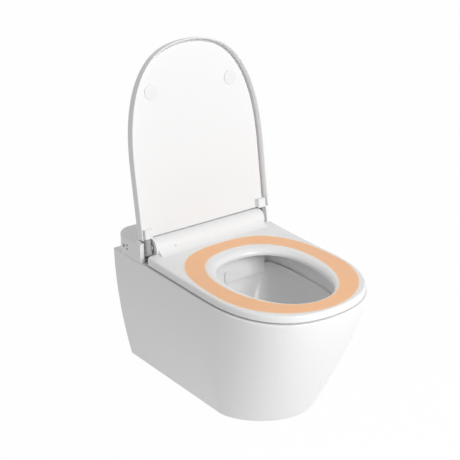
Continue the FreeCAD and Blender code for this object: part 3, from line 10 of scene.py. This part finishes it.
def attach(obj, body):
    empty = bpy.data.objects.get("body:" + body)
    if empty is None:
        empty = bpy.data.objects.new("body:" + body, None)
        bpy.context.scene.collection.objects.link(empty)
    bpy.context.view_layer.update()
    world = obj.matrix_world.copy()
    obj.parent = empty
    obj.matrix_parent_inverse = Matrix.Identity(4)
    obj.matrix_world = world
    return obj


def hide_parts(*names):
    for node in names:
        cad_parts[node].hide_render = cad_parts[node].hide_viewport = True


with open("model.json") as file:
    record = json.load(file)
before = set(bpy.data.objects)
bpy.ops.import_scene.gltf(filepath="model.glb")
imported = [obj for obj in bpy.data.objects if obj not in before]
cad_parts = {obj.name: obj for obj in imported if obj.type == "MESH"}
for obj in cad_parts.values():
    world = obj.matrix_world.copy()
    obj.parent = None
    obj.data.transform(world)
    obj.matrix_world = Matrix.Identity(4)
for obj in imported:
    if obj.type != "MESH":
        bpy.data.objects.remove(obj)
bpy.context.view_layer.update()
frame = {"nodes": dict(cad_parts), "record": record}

# ---------------------------------------------------------------- camera, fitted to the photograph
CAMERA_PLACE = Vector((-1.3706, -2.0310, 1.1265))
CAMERA_FORWARD = Vector((0.55422, 0.73547, -0.38977))
CAMERA_RIGHT = Vector((0.79864, -0.60182, 0.0))
LENS_MM = 83.62
SENSOR_MM = 36.0
SIGHT_LIMIT = 50.0
FLOOR_Z = -0.345             # the rim of a hung pan is about 0.44 m above the floor


def make_camera():
    data = bpy.data.cameras.new("camera")
    data.lens = LENS_MM
    data.sensor_width = SENSOR_MM
    data.clip_end = SIGHT_LIMIT
    camera = bpy.data.objects.new("camera", data)
    bpy.context.scene.collection.objects.link(camera)
    up = CAMERA_RIGHT.cross(CAMERA_FORWARD)
    turn = Matrix((CAMERA_RIGHT, up, -CAMERA_FORWARD)).transposed().to_4x4()
    camera.matrix_world = Matrix.Translation(CAMERA_PLACE) @ turn
    bpy.context.scene.camera = camera


# ---------------------------------------------------------------- material helpers
NOISE_LOW, NOISE_HIGH = 0.3, 0.7    # nearly all of a noise texture's values lie between these
ROUGHNESS_SPREAD = 0.15             # share by which the gloss varies over a surface
GRAIN_STRENGTH = 0.25
SWELL_STRENGTH = 0.4


def new_material(name):
    material = bpy.data.materials.new(name)
    material.use_nodes = True
    nodes = material.node_tree.nodes
    return material, nodes, material.node_tree.links, nodes["Principled BSDF"]


def calc(nodes, links, operation, first, second=0.0):
    """One maths node; its inputs are sockets or numbers."""
    node = nodes.new("ShaderNodeMath")
    node.operation = operation
    for socket, value in zip(node.inputs, (first, second)):
        if isinstance(value, (int, float)):
            socket.default_value = value
        else:
            links.new(value, socket)
    return node.outputs[0]


def noise(nodes, links, scale, detail, roughness=0.5):
    place = nodes.new("ShaderNodeTexCoord")
    texture = nodes.new("ShaderNodeTexNoise")
    texture.inputs["Scale"].default_value = scale
    texture.inputs["Detail"].default_value = detail
    texture.inputs["Roughness"].default_value = roughness
    links.new(place.outputs["Object"], texture.inputs["Vector"])
    return texture.outputs["Fac"]


def spread(nodes, links, value, low, high):
    """Maps a noise value to a small range."""
    node = nodes.new("ShaderNodeMapRange")
    node.inputs["From Min"].default_value = NOISE_LOW
    node.inputs["From Max"].default_value = NOISE_HIGH
    node.inputs["To Min"].default_value = low
    node.inputs["To Max"].default_value = high
    links.new(value, node.inputs["Value"])
    return node.outputs["Result"]


def tint(nodes, links, value, first, second):
    """Blends two colours by a noise value."""
    ramp = nodes.new("ShaderNodeValToRGB")
    ramp.color_ramp.elements[0].position = NOISE_LOW
    ramp.color_ramp.elements[0].color = (*first, 1.0)
    ramp.color_ramp.elements[1].position = NOISE_HIGH
    ramp.color_ramp.elements[1].color = (*second, 1.0)
    links.new(value, ramp.inputs["Fac"])
    return ramp.outputs["Color"]


def bump(nodes, links, value, strength, distance):
    node = nodes.new("ShaderNodeBump")
    node.inputs["Strength"].default_value = strength
    node.inputs["Distance"].default_value = distance
    links.new(value, node.inputs["Height"])
    return node.outputs["Normal"]


def surface(name, colour, shade, rough, grain=60.0, grain_depth=0.00002, metallic=0.0,
            coat=0.0, coat_rough=0.03, wave=6.0, wave_depth=0.0):
    """A material whose colour, gloss and surface vary a little, as a real finish does."""
    material, nodes, links, shader = new_material(name)
    cloud = noise(nodes, links, wave, 2.0)
    fine = noise(nodes, links, grain, 4.0, 0.6)
    darker = tuple(c * shade for c in colour)
    links.new(tint(nodes, links, cloud, darker, colour), shader.inputs["Base Color"])
    smoother, rougher = rough * (1.0 - ROUGHNESS_SPREAD), rough * (1.0 + ROUGHNESS_SPREAD)
    links.new(spread(nodes, links, fine, smoother, rougher), shader.inputs["Roughness"])
    shader.inputs["Metallic"].default_value = metallic
    shader.inputs["Coat Weight"].default_value = coat
    shader.inputs["Coat Roughness"].default_value = coat_rough
    normal = bump(nodes, links, fine, GRAIN_STRENGTH, grain_depth)
    if wave_depth:
        swell = nodes.new("ShaderNodeBump")
        swell.inputs["Strength"].default_value = SWELL_STRENGTH
        swell.inputs["Distance"].default_value = wave_depth
        links.new(cloud, swell.inputs["Height"])
        links.new(normal, swell.inputs["Normal"])
        normal = swell.outputs["Normal"]
    links.new(normal, shader.inputs["Normal"])
    return material


WHITE = (0.86, 0.86, 0.862)
# name, colour, its share in the darker patches, roughness, scale and depth of the grain
MATERIALS = {
    "sanitary_ceramic": surface("glaze", (0.86, 0.86, 0.86), 0.995, 0.2, 60.0, 0.000001,
                                coat=0.25, coat_rough=0.1, wave=9.0, wave_depth=0.0002),
    "white_shell": surface("white_shell", WHITE, 0.992, 0.24, 240.0, 0.00001, coat=0.15),
    "heated_band": surface("heated_band", (0.99, 0.54, 0.275), 0.98, 0.32, 240.0, 0.00001),
    "hinge_grey": surface("hinge_grey", (0.40, 0.41, 0.42), 0.9, 0.35, 400.0, 0.00002,
                          metallic=0.3),
    "steel": surface("zinc_steel", (0.62, 0.63, 0.64), 0.85, 0.3, 300.0, 0.00002, metallic=1.0),
    "rubber_grey": surface("rubber_grey", (0.06, 0.06, 0.065), 0.8, 0.6, 500.0, 0.00004),
    "pad_white": surface("pad_white", (0.82, 0.82, 0.82), 0.97, 0.5, 400.0, 0.00003),
    "inner_plastic": surface("inner_plastic", (0.55, 0.56, 0.57), 0.92, 0.5, 300.0, 0.00003),
    "dark_plastic": surface("dark_plastic", (0.03, 0.03, 0.033), 0.8, 0.4, 300.0, 0.00003),
    "button_grey": surface("button_grey", (0.20, 0.205, 0.215), 0.9, 0.3, 300.0, 0.00002),
    "brass_fitting": surface("brass_fitting", (0.75, 0.57, 0.28), 0.85, 0.28, 300.0, 0.00003,
                             metallic=1.0),
    "circuit_green": surface("circuit_green", (0.02, 0.16, 0.06), 0.8, 0.35, 300.0, 0.00003),
    "foil": surface("heating_film", (0.55, 0.36, 0.22), 0.85, 0.35, 200.0, 0.00003,
                    metallic=0.6),
    "lamp_clear": surface("lamp_clear", (0.80, 0.86, 0.90), 0.95, 0.2, 200.0, 0.00001),
    # the seat's white, which gets a painted glow round the heated zone further down
    "seat_shell": surface("seat_shell", WHITE, 0.992, 0.2, 240.0, 0.00001, coat=0.25),
    "sensor_window": surface("sensor_window", (0.6, 0.6, 0.61), 0.97, 0.3, 240.0),
}
OWN_FINISH = {"seat_top": "seat_shell"}    # nodes whose finish isn't their slot's common one


def dress_nodes():
    slots = {part["node"]: part["material_slot"] for part in frame["record"]["subparts"]}
    for name, piece in frame["nodes"].items():
        material = MATERIALS[OWN_FINISH.get(name, slots[name])]
        if not piece.material_slots:
            piece.data.materials.append(material)
        for slot in piece.material_slots:
            slot.material = material


# ---------------------------------------------------------------- the heated zone's painted glow, which softens its edges
def oval_distance(nodes, links, x, y, oval):
    """Metres outside (+) or inside (-) an oval, measured along the line to its middle."""
    half, widest, front, rear, front_power, rear_power = oval
    dy = calc(nodes, links, "SUBTRACT", y, widest)
    behind = calc(nodes, links, "GREATER_THAN", dy, 0.0)
    reach = calc(nodes, links, "ADD", widest - front,
                 calc(nodes, links, "MULTIPLY", behind, (rear - widest) - (widest - front)))
    power = calc(nodes, links, "ADD", front_power,
                 calc(nodes, links, "MULTIPLY", behind, rear_power - front_power))
    across = calc(nodes, links, "POWER",
                  calc(nodes, links, "DIVIDE", calc(nodes, links, "ABSOLUTE", x), half), power)
    along = calc(nodes, links, "POWER",
                 calc(nodes, links, "DIVIDE", calc(nodes, links, "ABSOLUTE", dy), reach), power)
    total = calc(nodes, links, "ADD", across, along)
    ratio = calc(nodes, links, "POWER", total, calc(nodes, links, "DIVIDE", 1.0, power))
    squares = calc(nodes, links, "ADD", calc(nodes, links, "MULTIPLY", x, x),
                   calc(nodes, links, "MULTIPLY", dy, dy))
    share = calc(nodes, links, "SUBTRACT", 1.0, calc(nodes, links, "DIVIDE", 1.0, ratio))
    return calc(nodes, links, "MULTIPLY", calc(nodes, links, "SQRT", squares), share)


# (half width, y of the widest place, front y, rear y, roundness in front and behind)
RING_OUTER = (0.1702, -0.389, -0.5715, -0.1715, 2.03, 2.8)
RING_INNER = (0.131, -0.355, -0.538, -0.2073, 2.06, 2.3)
# painted glow: the white next to the heated zone is tinted warm over this width, standing in for
# the zone's light
GLOW_WIDTH = 0.0055
GLOW_SHARE = 0.85                # of the painted glow's tint, right at the zone's edge
# warm colour of the painted glow
PAINTED_GLOW_COLOUR = (0.98, 0.715, 0.485)
MIX_COLOUR_INPUTS = (0, 6, 7)    # factor and colours; the mix node has its names more than once
MIX_COLOUR_OUTPUT = 2


def add_painted_glow(material):
    """Paints a glow: tints the white next to the heated zone, so that the zone's edges look soft,
    as if it glowed.
    """
    nodes, links = material.node_tree.nodes, material.node_tree.links
    shader = nodes["Principled BSDF"]
    base = shader.inputs["Base Color"].links[0].from_socket
    place = nodes.new("ShaderNodeTexCoord")
    split = nodes.new("ShaderNodeSeparateXYZ")
    links.new(place.outputs["Object"], split.inputs[0])
    x, y = split.outputs[0], split.outputs[1]
    glows = []
    for oval in (RING_OUTER, RING_INNER):
        off = calc(nodes, links, "ABSOLUTE", oval_distance(nodes, links, x, y, oval))
        near = nodes.new("ShaderNodeMapRange")
        near.interpolation_type = "SMOOTHSTEP"
        near.inputs["From Max"].default_value = GLOW_WIDTH
        near.inputs["To Min"].default_value = GLOW_SHARE
        near.inputs["To Max"].default_value = 0.0
        links.new(off, near.inputs["Value"])
        glows.append(near.outputs["Result"])
    mix = nodes.new("ShaderNodeMix")
    mix.data_type = "RGBA"
    factor, first, second = (mix.inputs[i] for i in MIX_COLOUR_INPUTS)
    links.new(calc(nodes, links, "MAXIMUM", glows[0], glows[1]), factor)
    links.new(base, first)
    second.default_value = (*PAINTED_GLOW_COLOUR, 1.0)
    links.new(mix.outputs[MIX_COLOUR_OUTPUT], shader.inputs["Base Color"])


# ---------------------------------------------------------------- mesh helpers
def finish_piece(name, mesh_maker, material, body, replaced=(), smooth_deg=40.0):
    """Turns a bmesh into a piece that rides on a body and may stand for CAD nodes."""
    mesh = bpy.data.meshes.new(name)
    bmesh.ops.recalc_face_normals(mesh_maker, faces=mesh_maker.faces)
    mesh_maker.to_mesh(mesh)
    mesh_maker.free()
    piece = bpy.data.objects.new(name, mesh)
    bpy.context.scene.collection.objects.link(piece)
    mesh.materials.append(MATERIALS[material])
    for face in mesh.polygons:
        face.use_smooth = True
    mesh.set_sharp_from_angle(angle=math.radians(smooth_deg))
    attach(piece, body)
    if replaced:
        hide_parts(*replaced)
    return piece


ON_AXIS = 1e-6
LATHE_SIDES = 48


def lathe(maker, profile, centre, axis):
    """Adds a turned form: profile holds (radius, distance along the axis) pairs."""
    axis = Vector(axis).normalized()
    turn = Vector((0.0, 0.0, 1.0)).rotation_difference(axis)
    rings = []
    for radius, along in profile:
        if radius < ON_AXIS:
            rings.append([maker.verts.new(Vector(centre) + axis * along)])
            continue
        ring = []
        for i in range(LATHE_SIDES):
            angle = 2.0 * math.pi * i / LATHE_SIDES
            spot = Vector((radius * math.cos(angle), radius * math.sin(angle), along))
            ring.append(maker.verts.new(Vector(centre) + turn @ spot))
        rings.append(ring)
    for low, high in zip(rings, rings[1:]):
        for i in range(LATHE_SIDES):
            j = (i + 1) % LATHE_SIDES
            if len(low) == 1:
                maker.faces.new((low[0], high[i], high[j]))
            elif len(high) == 1:
                maker.faces.new((low[i], low[j], high[0]))
            else:
                maker.faces.new((low[i], low[j], high[j], high[i]))


EDGE_STEPS = 4
DISH_RING = (0.55, 0.7)          # share of the radius at which this share of the dish is left


def rounded(radius, length, edge, dish=0.0):
    """Profile of a button-like disc: flat or slightly dished end, rounded edge, plain side."""
    profile = [(0.0, dish), (radius * DISH_RING[0], dish * DISH_RING[1])]
    for step in range(EDGE_STEPS + 1):
        angle = math.radians(90.0 - 90.0 * step / EDGE_STEPS)
        profile.append((radius - edge + edge * math.cos(angle), edge - edge * math.sin(angle)))
    profile += [(radius, length), (0.0, length)]
    return profile


# ---------------------------------------------------------------- lid, with its steep, thin rim
CURVE_STEPS = (0, 28, 58, 90)     # degrees at which the CAD outline has its points
SIDE_STEPS = (0.0, 0.03, 0.3, 0.65)    # along a straight side; the hollow ends at the second
POINTS_PER_CURVE = 9
HINGE_PLACE = next(joint["pos_m"] for joint in frame["record"]["behaviour"]["joints"]
                   if joint["name"] == "lid_hinge")
HINGE = Vector(HINGE_PLACE)
LID_OPEN_DEG = 98.4
LID_SWING = Matrix.Rotation(math.radians(-LID_OPEN_DEG), 3, "X")
LID_HALF = 0.1844
LID_REAR_Y = HINGE_PLACE[1] - 0.0245
LID_TIP_Y = HINGE_PLACE[1] - 0.4605
LID_NOSE = 0.285
LID_POWER = 2.49
LID_RIM_Z = HINGE_PLACE[2] - 0.0089
# (inset from the outline, height over the rim): the floor of the gap round the panel, the
# steep inner wall, the narrow lip, the outer side and the rounded edge, up to the slightly
# crowned skin
LID_PROFILE = ((0.0130, 0.0204), (0.0050, 0.0204), (0.0043, 0.0139), (0.0027, 0.0008),
               (0.0022, 0.0002), (0.0017, 0.0), (0.0009, 0.0), (0.0003, 0.0002),
               (0.0, 0.0008), (0.0, 0.0139), (0.0, 0.0184), (0.0004, 0.0204),
               (0.0014, 0.0222), (0.0030, 0.0234), (0.0060, 0.0242), (0.0120, 0.0244),
               (0.0300, 0.0246), (0.0600, 0.0248), (0.1000, 0.0249), (0.1500, 0.0250))
LID_WALL_FOOT = 2                # the profile's level on the inner wall beside the panel
LID_REAR_EDGE = 9                # the levels after this one also run along the rear


def nose_points(half, widest_y, reach, power):
    """From the right side round the tip to the left side, through the CAD outline's points."""
    right, left = [], []
    share = 2.0 / power
    for degrees in CURVE_STEPS:
        c, s = math.cos(math.radians(degrees)), math.sin(math.radians(degrees))
        if degrees == CURVE_STEPS[0]:
            x, y, dx, dy = half, 0.0, 0.0, 1.0
        elif degrees == CURVE_STEPS[-1]:
            x, y, dx, dy = 0.0, reach, -1.0, 0.0
        else:
            x, y = half * c ** share, reach * s ** share
            dx, dy = -half * c ** (share - 1) * s, reach * s ** (share - 1) * c
        right.append((Vector((x, widest_y - y)), Vector((dx, -dy)).normalized()))
        left.append((Vector((-x, widest_y - y)), Vector((dx, dy)).normalized()))
    marks = right + left[-2::-1]
    points = [marks[0][0]]
    for (start, out), (end, into) in zip(marks, marks[1:]):
        handle = (end - start).length / (3.0 * math.cos(out.angle(into) / 4.0) ** 2)
        first, second = start + out * handle, end - into * handle
        for step in range(1, POINTS_PER_CURVE + 1):
            t = step / POINTS_PER_CURVE
            u = 1.0 - t
            points.append(start * u ** 3 + first * (3 * u * u * t) + second * (3 * u * t * t)
                          + end * t ** 3)
    return points


def swung_open(place):
    """Where a point of the closed lid is in the open rest pose."""
    return HINGE + LID_SWING @ (Vector(place) - HINGE)


def lid_loop(inset, height, rear_inset):
    """One level of the lid, from its right rear corner round the tip to the left one."""
    half = LID_HALF - inset
    curve = nose_points(half, LID_TIP_Y + LID_NOSE, LID_NOSE - inset, LID_POWER)
    rear = LID_REAR_Y - rear_inset
    sides = [rear + (LID_TIP_Y + LID_NOSE - rear) * t for t in SIDE_STEPS]
    plan = [(half, y) for y in sides] + [tuple(p) for p in curve]
    plan += [(-half, y) for y in reversed(sides)]
    return [swung_open((x, y, LID_RIM_Z + height)) for x, y in plan]


def make_lid_shell():
    """A closed shell; its hollow ends at the rear wall, below which the rear is open."""
    maker = bmesh.new()
    loops = []
    for level, (inset, height) in enumerate(LID_PROFILE):
        points = lid_loop(inset, height, inset if level > LID_REAR_EDGE else 0.0)
        if level < LID_WALL_FOOT:
            points = points[1:-1]
        loops.append([maker.verts.new(p) for p in points])
    for level, (low, high) in enumerate(zip(loops, loops[1:])):
        if len(low) < len(high):
            high = high[1:-1]
        for i in range(len(low) - 1):
            maker.faces.new((low[i], low[i + 1], high[i + 1], high[i]))
        if level < LID_WALL_FOOT or level > LID_REAR_EDGE:
            maker.faces.new((low[-1], low[0], high[0], high[-1]))
    maker.faces.new(loops[0])
    maker.faces.new(loops[-1])
    foot, edge, above = loops[LID_WALL_FOOT], loops[LID_REAR_EDGE], loops[LID_REAR_EDGE + 1]
    maker.faces.new((edge[-1], foot[-1], foot[0], edge[0], above[0], above[-1]))
    maker.faces.new((foot[0], foot[-1], foot[-2], foot[1]))
    for end in (0, -1):
        maker.faces.new([loop[end] for loop in loops[LID_WALL_FOOT:LID_REAR_EDGE + 1]])
    finish_piece("lid_outer_shell", maker, "white_shell", "lid", ("lid_shell",))


# ---------------------------------------------------------------- small pieces, in millimetres
MM = 0.001


def in_metres(*sizes):
    """Turns a place or a profile's point from millimetres into metres."""
    return tuple(size * MM for size in sizes)


HOUSING_SIDE_X = -187.5
BUTTON_PROUD = 0.4               # by which a cap stands out of the housing's side
BUTTON_LENGTH = 9.0
BUTTON_EDGE = 0.5
BUTTON_DISH = 0.45
FLANGE_WIDTH = 1.2
FLANGE_START, FLANGE_END = 3.7, 5.7
# (node, body, y, z, radius)
BUTTON_PIECES = (("power_button", "power_key", -46.0, 115.0, 3.7),
                 ("wash_button", "wash_key", -60.8, 120.6, 2.5),
                 ("stop_button", "stop_key", -60.8, 111.2, 2.5))


def make_buttons():
    """Dished caps with a rounded edge, on their flanges."""
    for node, body, y, z, radius in BUTTON_PIECES:
        maker = bmesh.new()
        profile = rounded(*in_metres(radius, FLANGE_START, BUTTON_EDGE, BUTTON_DISH))[:-1]
        profile += [in_metres(radius + FLANGE_WIDTH, FLANGE_START),
                    in_metres(radius + FLANGE_WIDTH, FLANGE_END),
                    in_metres(radius, FLANGE_END), in_metres(radius, BUTTON_LENGTH),
                    in_metres(0.0, BUTTON_LENGTH)]
        lathe(maker, profile, in_metres(HOUSING_SIDE_X - BUTTON_PROUD, y, z), (1, 0, 0))
        finish_piece(node + "_cap", maker, "button_grey", body, (node,))


SUPPLY_PLACE = (-150.0, -16.0, 116.0)
SUPPLY_LENGTH = 14.0
SUPPLY_BORE_R = 4.0
THREAD_CREST_R, THREAD_ROOT_R = 10.4, 9.3
THREAD_START, THREAD_PITCH, THREAD_RIDGES = 1.2, 1.8, 6
# (radius, distance into the pitch)
THREAD_FORM = ((THREAD_ROOT_R, 0.5), (THREAD_ROOT_R, 0.7),
               (THREAD_CREST_R, 1.3), (THREAD_CREST_R, 1.6))
THREAD_SMOOTH_DEG = 25.0
SUPPLY_CHAMFER = 0.8


def make_supply_thread():
    """G1/2 male thread as fine rings, with a chamfered end and the waterway through it."""
    maker = bmesh.new()
    profile = [in_metres(SUPPLY_BORE_R, 0.0), in_metres(THREAD_CREST_R, 0.0)]
    for ridge in range(THREAD_RIDGES):
        low = THREAD_START + THREAD_PITCH * ridge
        profile += [in_metres(radius, low + along) for radius, along in THREAD_FORM]
    profile += [in_metres(THREAD_CREST_R, SUPPLY_LENGTH - SUPPLY_CHAMFER),
                in_metres(THREAD_CREST_R - SUPPLY_CHAMFER, SUPPLY_LENGTH),
                in_metres(SUPPLY_BORE_R, SUPPLY_LENGTH), in_metres(SUPPLY_BORE_R, 0.0)]
    lathe(maker, profile, in_metres(*SUPPLY_PLACE), (0, 1, 0))
    finish_piece("supply_thread", maker, "brass_fitting", "pan", ("supply_connector",),
                 THREAD_SMOOTH_DEG)


# a dome is (radius, distance behind the tip) pairs
SENSOR_PLACE = (-106.0, -145.1, 127.0)
SENSOR_DOME = ((0.0, 0.0), (1.5, 0.1), (2.3, 0.35), (2.6, 0.7), (2.6, 6.6), (0.0, 6.6))
LAMP_PLACE = (62.0, -208.0, 66.0)
LAMP_DOME = ((0.0, 0.0), (2.2, 0.15), (3.5, 0.6), (4.0, 1.2), (4.0, 8.0), (0.0, 8.0))


def make_lens(name, dome, place, slot, body, node):
    maker = bmesh.new()
    lathe(maker, [in_metres(*point) for point in dome], in_metres(*place), (0, 1, 0))
    return finish_piece(name, maker, slot, body, (node,))


def make_lenses():
    """Domed lenses of the presence sensor and of the night light."""
    lens = make_lens("sensor_lens", SENSOR_DOME, SENSOR_PLACE, "dark_plastic", "seat",
                     "presence_sensor")
    lens.data.materials[0] = MATERIALS["sensor_window"]
    make_lens("night_light_lens", LAMP_DOME, LAMP_PLACE, "lamp_clear", "pan", "night_light")


# a disc is (radius, thickness, edge radius)
SEAT_FOOT = (8.0, 3.7, 1.0)
SEAT_FOOT_PLACES = ((163.0, -290.0), (128.0, -500.0))
SEAT_FOOT_Z = 93.3
LID_PAD = (17.5, 2.2, 0.9)
LID_PAD_PLACE = (111.0, -475.0, 129.9)


def make_feet():
    """Rounded rubber feet under the seat and pads on the lid."""
    maker = bmesh.new()
    for x, y in SEAT_FOOT_PLACES:
        for side in (1, -1):
            lathe(maker, rounded(*in_metres(*SEAT_FOOT)), in_metres(side * x, y, SEAT_FOOT_Z),
                  (0, 0, 1))
    finish_piece("seat_feet", maker, "pad_white", "seat", ("seat_buffers",))
    maker = bmesh.new()
    x, y, z = LID_PAD_PLACE
    for side in (1, -1):
        lathe(maker, rounded(*in_metres(*LID_PAD)), swung_open(in_metres(side * x, y, z)),
              LID_SWING @ Vector((0, 0, 1)))
    finish_piece("lid_pads", maker, "pad_white", "lid", ("lid_buffers",))


# ---------------------------------------------------------------- stage and light
def seen_mix(nodes, links, lit, plain, share):
    """Blends plain in for camera, glossy and transmission rays; all others get lit alone."""
    path = nodes.new("ShaderNodeLightPath")
    seen = calc(nodes, links, "MAXIMUM", path.outputs["Is Camera Ray"],
                path.outputs["Is Glossy Ray"])
    seen = calc(nodes, links, "MAXIMUM", seen, path.outputs["Is Transmission Ray"])
    mix = nodes.new("ShaderNodeMixShader")
    links.new(calc(nodes, links, "MULTIPLY", seen, share), mix.inputs["Fac"])
    links.new(lit, mix.inputs[1])
    links.new(plain, mix.inputs[2])
    return mix.outputs[0]


FLOOR_SIZE = 16.0
FLOOR_WHITE = 0.98               # share of plain white that the camera sees on the floor
PAPER = (0.9, 0.9, 0.9, 1.0)
PLAIN_WHITE = (1.0, 1.0, 1.0, 1.0)
WORLD_LEVEL = 0.44


def make_floor():
    bpy.ops.mesh.primitive_plane_add(size=FLOOR_SIZE, location=(0.0, 0.0, FLOOR_Z))
    floor = bpy.context.object
    floor.name = "floor"
    material = bpy.data.materials.new("floor")
    material.use_nodes = True
    nodes, links = material.node_tree.nodes, material.node_tree.links
    nodes.clear()
    output = nodes.new("ShaderNodeOutputMaterial")
    paper = nodes.new("ShaderNodeBsdfDiffuse")
    paper.inputs["Color"].default_value = PAPER
    white = nodes.new("ShaderNodeEmission")
    links.new(seen_mix(nodes, links, paper.outputs[0], white.outputs[0], FLOOR_WHITE),
              output.inputs["Surface"])
    floor.data.materials.append(material)


def make_world():
    world = bpy.data.worlds.new("studio")
    bpy.context.scene.world = world
    world.use_nodes = True
    nodes, links = world.node_tree.nodes, world.node_tree.links
    nodes.clear()
    output = nodes.new("ShaderNodeOutputWorld")
    ambient = nodes.new("ShaderNodeBackground")
    ambient.inputs["Color"].default_value = PLAIN_WHITE
    ambient.inputs["Strength"].default_value = WORLD_LEVEL
    white = nodes.new("ShaderNodeBackground")
    white.inputs["Color"].default_value = PLAIN_WHITE
    white.inputs["Strength"].default_value = 1.0
    links.new(seen_mix(nodes, links, ambient.outputs[0], white.outputs[0], 1.0),
              output.inputs["Surface"])


LIGHT_AIM = (0.0, -0.3, 0.1)
# (name, place, width, height, watts)
SOFTBOXES = (("key", (0.3, -2.8, 1.5), 1.6, 1.2, 54.0),
             ("top", (0.2, -0.4, 2.6), 1.8, 1.8, 0.5))


def softbox(name, place, width, height, power):
    data = bpy.data.lights.new(name, "AREA")
    data.shape = "RECTANGLE"
    data.size = width
    data.size_y = height
    data.energy = power
    light = bpy.data.objects.new(name, data)
    bpy.context.scene.collection.objects.link(light)
    light.location = place
    sight = Vector(LIGHT_AIM) - Vector(place)
    light.rotation_euler = sight.to_track_quat("-Z", "Y").to_euler()


def main():
    make_camera()
    bpy.context.scene.view_settings.view_transform = "Standard"
    make_floor()
    make_world()
    for box in SOFTBOXES:
        softbox(*box)
    add_painted_glow(MATERIALS["seat_shell"])
    dress_nodes()
    make_lid_shell()
    make_buttons()
    make_supply_thread()
    make_lenses()
    make_feet()


main()
